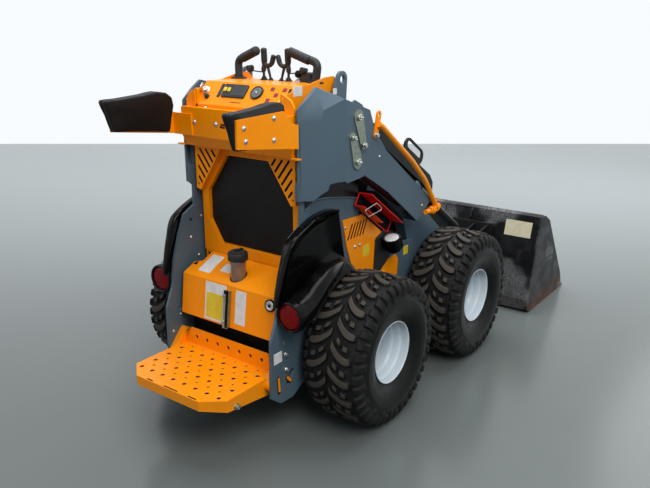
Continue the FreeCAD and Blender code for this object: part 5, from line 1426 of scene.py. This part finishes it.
def add_boom_lock():
    """The boom's red lock: a channel of bent sheet, open outwards, with its wire clip.

    The section is one closed U: the upper flange runs the whole length and the lower flange
    ends short of it.
    """
    sheet, deep = 0.004, 0.058
    start, end = np.array([-0.502, 0.862]), np.array([-0.256, 0.692])
    way = unit(end - start)
    down = np.array([way[1], -way[0]])
    inner, outer = 0.2835, 0.3440
    channel, clip, web_shade = Shell(), Shell(), Shell()
    for side in (LEFT, RIGHT):
        for last, near, far, width in ((1.0, 0.0, sheet, outer), (1.0, 0.0, deep, inner + sheet),
                                       (0.55, deep - sheet, deep, outer - 0.010)):
            corners = np.array([(inner, near), (width, near), (width, far), (inner, far)])
            middle = corners.mean(0)
            ring = resample(polygon_outline(corners, 0.0012, 4), 48)
            rows = []
            for share, inset in ((0, 0.96), (0.004, 1.0), (last - 0.004, 1.0), (last, 0.96)):
                x, z = start + (end - start) * share
                line = middle + (ring - middle) * inset
                rows.append(np.stack([x + down[0] * line[:, 1], side * line[:, 0],
                                      z + down[1] * line[:, 1]], -1))
            channel.grid(np.stack(rows)[:, ::side])
        # Painted shade: a dark sheet over the channel's web, for the deep shadow inside the open
        # channel.
        seat = flank_seat(side, inner + sheet)
        corners = [start + (end - start) * share + down * depth for share, depth in (
            (0.012, sheet + 0.001), (0.965, sheet + 0.001), (0.965, deep - sheet - 0.001),
            (0.012, deep - sheet - 0.001))]
        web_shade.sheet(corners, seat, 0.002, -0.0003, 0.0012, 64, 4)
        line = resample(polygon_outline([(-0.556, 0.808), (-0.526, 0.778), (-0.424, 0.787),
                                         (-0.472, 0.820)], 0.006, 6), 96)
        loop = np.insert(line, 1, side * 0.3460, 1)
        clip.sweep(np.concatenate([loop, loop[:1]]), 0.0016, count=10)
    channel.put("lock_channel", "red_paint", "boom", replaces="safety_lock")
    web_shade.put("lock_web_painted_shade", "painted_shade_lining", "boom")
    clip.put("lock_clip", "bright_steel", "boom", angle=60)


def add_wraps():
    """The hose guards' coil wraps: a helix of uneven radius about a short bent spine."""
    for name, side in SIDES:
        y = side * 0.3592
        turn = np.linspace(0, 5 * TAU, 260)
        spine = smooth_path([(0.018, y, 0.722), (0.000, y, 0.704), (-0.030, y, 0.703),
                             (-0.062, y, 0.706)], 40)
        middle = at_lengths(spine, np.arange(len(spine)), np.linspace(0, len(spine) - 1, 260))
        wobble = 1 + 0.10 * np.sin(turn * 1.7) + 0.08 * np.sin(turn * 0.6 + 1)
        coil = middle + 0.0128 * wobble[:, None] * np.stack(
            [0.35 * np.cos(turn), np.sin(turn), np.cos(turn)], -1)
        Shell().sweep(coil, 0.0042, (0.999, 0.01, 0.04), 8).put(
            "guard_wrap_" + name, "amber_paint", "boom", angle=60)


def add_welds():
    """Weld beads where the bucket's cheeks meet its back."""
    beads = Shell()
    for side in (LEFT, RIGHT):
        weld(beads, (0.812, side * 0.549, 0.480), (0.720, side * 0.549, 0.120), 0.007, AHEAD)
    beads.put("bucket_welds", "worn_bucket", "tool", angle=70)


# ---------------------------------------------------------------- stage
def backdrop(name, corners, material):
    """One flat quad of the surroundings."""
    mesh = bpy.data.meshes.new(name)
    mesh.from_pydata([tuple(corner) for corner in corners], [], [(0, 1, 2, 3)])
    mesh.materials.append(material)
    thing = bpy.data.objects.new(name, mesh)
    bpy.context.scene.collection.objects.link(thing)
    return thing


def floor_coating(settings):
    """Pale coated concrete: clouds, long streaks and specks, and painted light that makes it
    paler far from the camera.
    """
    finish, colour = Finish("floor_coating"), tone(settings.floor)
    cloud = finish.noise(0.7, 4.0)
    streaks = finish.noise(1.6, 5.0, 0.6, finish.spot((0.5, 2.2, 1), (0, 0, 0.6)))
    specks = finish.noise(30.0, 4.0, 0.7).step(0.62, 0.8)
    along, across, _ = finish.axes()
    # Painted light: the floor grows paler away from the camera, for the light that falls on it
    # near the wall.
    away = along * math.cos(settings.camera_yaw) + across * math.sin(settings.camera_yaw)
    pale = finish.over(finish.tones(cloud * 0.6 + streaks * 0.4, colour, 0.88, 1.1),
                       (specks * 0.12, display(120, 124, 122)),
                       (away.step(-0.6, 4.6), display(186, 197, 198)))
    return finish.shade(pale, 0.15 + cloud * 0.12, 0.0, [(streaks, 0.0004)])


def add_stage(settings):
    """The pale floor and wall, the lamps, the world and the camera."""
    span, yaw = settings.floor_span, settings.camera_yaw
    floor = backdrop("floor", [(-span, -span, 0), (span, -span, 0), (span, span, 0),
                               (-span, span, 0)], floor_coating(settings))
    bright = (0.94, 0.97, 1.0, 1)
    white = Finish("white_wall")
    white.glow_where_seen(
        white.out("ShaderNodeBsdfDiffuse", {}, {"Color": (0.8, 0.82, 0.84, 1)}),
        white.out("ShaderNodeEmission", {}, {"Color": bright, "Strength": 1.0}),
        "ShaderNodeOutputMaterial")
    half, tall = 40, (0, 0, 9.0)
    middle = np.array([math.cos(yaw), math.sin(yaw), 0]) * settings.wall_distance
    across = np.array([math.sin(yaw), -math.cos(yaw), 0]) * half
    wall = backdrop("wall", [middle - across, middle + across, middle + across + tall,
                             middle - across + tall], white.owner)

    world = Finish("studio", bpy.data.worlds.new("studio"))
    world.glow_where_seen(
        world.out("ShaderNodeBackground", {}, {"Color": (0.90, 0.95, 1.0, 1),
                                               "Strength": settings.sky_strength}),
        world.out("ShaderNodeBackground", {}, {"Color": bright, "Strength": 1.0}),
        "ShaderNodeOutputWorld")
    bpy.context.scene.world = world.owner

    aim = Vector((-0.1, 0.0, 0.5))
    for name, place, size, power, tint in (
            ("key", (-2.3, -2.9, 4.0), 3.0, settings.key_power, (1.0, 0.98, 0.95)),
            ("fill", (-3.4, 3.0, 3.0), 3.5, settings.fill_power, (0.93, 0.97, 1.0)),
            ("top", (0.3, 0.2, 4.6), 4.0, settings.top_power, (1.0, 1.0, 1.0)),
            ("front", (4.0, -1.6, 2.6), 3.0, settings.front_power, (0.96, 0.98, 1.0))):
        lamp = bpy.data.lights.new(name, "AREA")
        lamp.shape, lamp.size, lamp.energy, lamp.color = "DISK", size, power, tint
        thing = bpy.data.objects.new(name, lamp)
        way = (aim - Vector(place)).to_track_quat("-Z", "Y")
        thing.matrix_world = Matrix.Translation(place) @ way.to_matrix().to_4x4()
        bpy.context.scene.collection.objects.link(thing)

    camera = bpy.data.cameras.new("camera")
    camera.sensor_width = 36.0
    camera.lens = settings.camera_lens
    thing = bpy.data.objects.new("camera", camera)
    thing.location = tuple(settings.camera_place)
    thing.rotation_euler = (math.pi / 2 + settings.camera_pitch, 0, yaw - math.pi / 2)
    bpy.context.scene.collection.objects.link(thing)
    bpy.context.scene.camera = thing
    bpy.context.scene.view_settings.view_transform = "Standard"


# ---------------------------------------------------------------- add-on
def colour_property(name, description, red, green, blue):
    """A colour that the user may change, given by its display values."""
    return FloatVectorProperty(name=name, description=description, subtype="COLOR", size=3,
                               min=0.0, max=1.0, default=display(red, green, blue)[:3])


def power_property(name, description, watts):
    """A lamp's power."""
    return FloatProperty(name=name, description=description, unit="POWER", default=watts,
                         min=0.0)


class LoaderColours(bpy.types.PropertyGroup):
    """Colours of the loader's enamels and rubber."""

    amber: colour_property("Amber", "Console, shroud, vents, covers and foot platform",
                           255, 148, 0)
    grey: colour_property("Grey", "Side plates, towers, boom and lifting eyes", 78, 97, 110)
    black: colour_property("Black", "Hood, cylinders, quick hitch, bucket and fenders",
                           13, 14, 16)
    red: colour_property("Red", "Boom safety lock", 222, 28, 26)
    rim: colour_property("Rim", "Wheel rims", 206, 218, 227)
    rubber: colour_property("Rubber", "Tyres, grips and pads", 22, 22, 22)


class LoaderSizes(bpy.types.PropertyGroup):
    """Sizes of the parts that this file adds to the CAD model."""

    lug_depth: FloatProperty(name="Lug depth", description="Height of a tyre's lugs",
                             unit="LENGTH", default=0.012, min=0.004, max=0.02)
    tread_pitches: IntProperty(name="Tread pitches", description="Lugs round a tyre, each side",
                               default=20, min=12, max=36)
    tread_sweep: FloatProperty(name="Tread sweep", unit="LENGTH", default=0.055, min=0.0,
                               max=0.1, description="How far a lug's outer end trails its inner")
    seed: IntProperty(name="Seed", description="Chooses how far each wheel is turned",
                      default=7, min=0)


class StageSettings(bpy.types.PropertyGroup):
    """Floor, wall, lamps and camera."""

    floor: colour_property("Floor", "Colour of the coated floor", 100, 107, 106)
    floor_span: FloatProperty(name="Floor half width", unit="LENGTH", default=30.0, min=3.0,
                              description="From the middle of the floor to its edge")
    wall_distance: FloatProperty(name="Wall distance", unit="LENGTH", default=5.75, min=3.0,
                                 description="From the loader's origin to the wall")
    sky_strength: FloatProperty(name="Sky strength", description="Light from all round",
                                default=0.34, min=0.0)
    key_power: power_property("Key", "Lamp at the rear right", 150.0)
    fill_power: power_property("Fill", "Lamp at the rear left", 40.0)
    top_power: power_property("Top", "Lamp overhead", 150.0)
    front_power: power_property("Front", "Lamp before the bucket", 40.0)
    camera_place: FloatVectorProperty(name="Camera place", subtype="TRANSLATION", size=3,
                                      default=(-2.7376, -1.7724, 1.4942),
                                      description="Where the camera stands")
    camera_yaw: FloatProperty(name="Camera heading", subtype="ANGLE",
                              default=math.radians(36.484),
                              description="From forwards, turned to the left")
    camera_pitch: FloatProperty(name="Camera tilt", subtype="ANGLE",
                                default=math.radians(-17.468),
                                description="Above level; negative looks down")
    camera_lens: FloatProperty(name="Lens", unit="CAMERA", default=39.25, min=10.0,
                               description="Focal length on a 36 mm wide sensor")


class LOADER_OT_finishes(bpy.types.Operator):
    """Make every finish and give the CAD nodes theirs."""

    bl_idname = "loader.finishes"
    bl_label = "Finishes"

    def execute(self, context):
        looks.update(build_finishes(context.scene.loader_colours))
        for part in frame["record"]["subparts"]:
            for slot in frame["nodes"][part["node"]].material_slots:
                slot.material = looks[part["material_slot"]]
        return {"FINISHED"}


class LOADER_OT_housings(bpy.types.Operator):
    """Add the towers' folded housings, the moulded fenders, the rims and the deck's collars."""

    bl_idname = "loader.housings"
    bl_label = "Housings, fenders and rims"

    def execute(self, context):
        folded_towers()
        moulded_fenders()
        deep_rims()
        deck_collars()
        return {"FINISHED"}


class LOADER_OT_tyres(bpy.types.Operator):
    """Add the four tyres with their tread."""

    bl_idname = "loader.tyres"
    bl_label = "Tyres"

    def execute(self, context):
        add_tyres(context.scene.loader_sizes)
        return {"FINISHED"}


class LOADER_OT_rim_parts(bpy.types.Operator):
    """Add the wheel nuts and valves."""

    bl_idname = "loader.rim_parts"
    bl_label = "Wheel nuts and valves"

    def execute(self, context):
        add_rim_parts()
        return {"FINISHED"}


class LOADER_OT_pads(bpy.types.Operator):
    """Add the stuffed side pads and the knee pad."""

    bl_idname = "loader.pads"
    bl_label = "Pads"

    def execute(self, context):
        add_pads()
        return {"FINISHED"}


class LOADER_OT_instruments(bpy.types.Operator):
    """Add the console's cheeks, display, gauge, key switch and blank squares."""

    bl_idname = "loader.instruments"
    bl_label = "Instruments"

    def execute(self, context):
        add_instruments()
        add_console_cheeks()
        return {"FINISHED"}


class LOADER_OT_controls(bpy.types.Operator):
    """Add grips, bellows and the levers' forks."""

    bl_idname = "loader.controls"
    bl_label = "Grips and levers"

    def execute(self, context):
        add_controls()
        return {"FINISHED"}


class LOADER_OT_bolts(bpy.types.Operator):
    """Add bolts and screws."""

    bl_idname = "loader.bolts"
    bl_label = "Bolts and screws"

    def execute(self, context):
        add_bolts()
        return {"FINISHED"}


class LOADER_OT_plates(bpy.types.Operator):
    """Add the blank plates and labels, and the dark plates that paint the shade in the slots."""

    bl_idname = "loader.plates"
    bl_label = "Blank plates and linings"

    def execute(self, context):
        add_plates()
        add_slot_shades_and_links()
        return {"FINISHED"}


class LOADER_OT_sheets(bpy.types.Operator):
    """Add the painted shadow bands under the towers, the cheeks' rolled edges and gussets, the
    flank plates, the boom's lock with painted shade over its channel's web, and the hose guards'
    wraps.
    """

    bl_idname = "loader.sheets"
    bl_label = "Sheet metal"

    def execute(self, context):
        add_flank_sheets()
        add_arches()
        add_boom_lock()
        add_wraps()
        return {"FINISHED"}


class LOADER_OT_lamps(bpy.types.Operator):
    """Add the lenses and rims of the lamps."""

    bl_idname = "loader.lamps"
    bl_label = "Lamps"

    def execute(self, context):
        add_lamps()
        return {"FINISHED"}


class LOADER_OT_tank_parts(bpy.types.Operator):
    """Add the tank, its neck and cap, the cover's lock and its latch screws."""

    bl_idname = "loader.tank_parts"
    bl_label = "Tank, filler and lock"

    def execute(self, context):
        add_tank_parts()
        return {"FINISHED"}


class LOADER_OT_welds(bpy.types.Operator):
    """Add the weld beads."""

    bl_idname = "loader.welds"
    bl_label = "Welds"

    def execute(self, context):
        add_welds()
        return {"FINISHED"}


class LOADER_OT_stage(bpy.types.Operator):
    """Add the floor, the wall, the lamps, the world and the camera."""

    bl_idname = "loader.stage"
    bl_label = "Stage"

    def execute(self, context):
        add_stage(context.scene.loader_stage)
        return {"FINISHED"}


OPERATORS = (LOADER_OT_finishes, LOADER_OT_housings, LOADER_OT_tyres, LOADER_OT_rim_parts,
             LOADER_OT_pads, LOADER_OT_instruments, LOADER_OT_controls, LOADER_OT_bolts,
             LOADER_OT_plates, LOADER_OT_sheets, LOADER_OT_lamps, LOADER_OT_tank_parts,
             LOADER_OT_welds, LOADER_OT_stage)


class LOADER_PT_panel(bpy.types.Panel):
    """The loader's sizes, colours and pieces in the sidebar."""

    bl_idname = "LOADER_PT_panel"
    bl_label = "Wheel loader"
    bl_space_type = "VIEW_3D"
    bl_region_type = "UI"
    bl_category = "Loader"

    def draw(self, context):
        layout = self.layout
        for group in ("loader_colours", "loader_sizes", "loader_stage"):
            settings = getattr(context.scene, group)
            box = layout.box()
            for name in settings.__annotations__:
                box.prop(settings, name)
        for operator in OPERATORS:
            layout.operator(operator.bl_idname)


CLASSES = (LoaderColours, LoaderSizes, StageSettings) + OPERATORS + (LOADER_PT_panel,)


def register():
    """Add the classes and the scene's settings."""
    for item in CLASSES:
        bpy.utils.register_class(item)
    bpy.types.Scene.loader_colours = PointerProperty(type=LoaderColours)
    bpy.types.Scene.loader_sizes = PointerProperty(type=LoaderSizes)
    bpy.types.Scene.loader_stage = PointerProperty(type=StageSettings)


def unregister():
    """Take the settings and classes away again."""
    del bpy.types.Scene.loader_stage
    del bpy.types.Scene.loader_sizes
    del bpy.types.Scene.loader_colours
    for item in reversed(CLASSES):
        bpy.utils.unregister_class(item)


def main():
    """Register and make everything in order."""
    register()
    bpy.ops.loader.finishes()
    bpy.ops.loader.housings()
    bpy.ops.loader.tyres()
    bpy.ops.loader.rim_parts()
    bpy.ops.loader.pads()
    bpy.ops.loader.instruments()
    bpy.ops.loader.controls()
    bpy.ops.loader.bolts()
    bpy.ops.loader.plates()
    bpy.ops.loader.sheets()
    bpy.ops.loader.lamps()
    bpy.ops.loader.tank_parts()
    bpy.ops.loader.welds()
    bpy.ops.loader.stage()


if __name__ == "__main__":
    main()
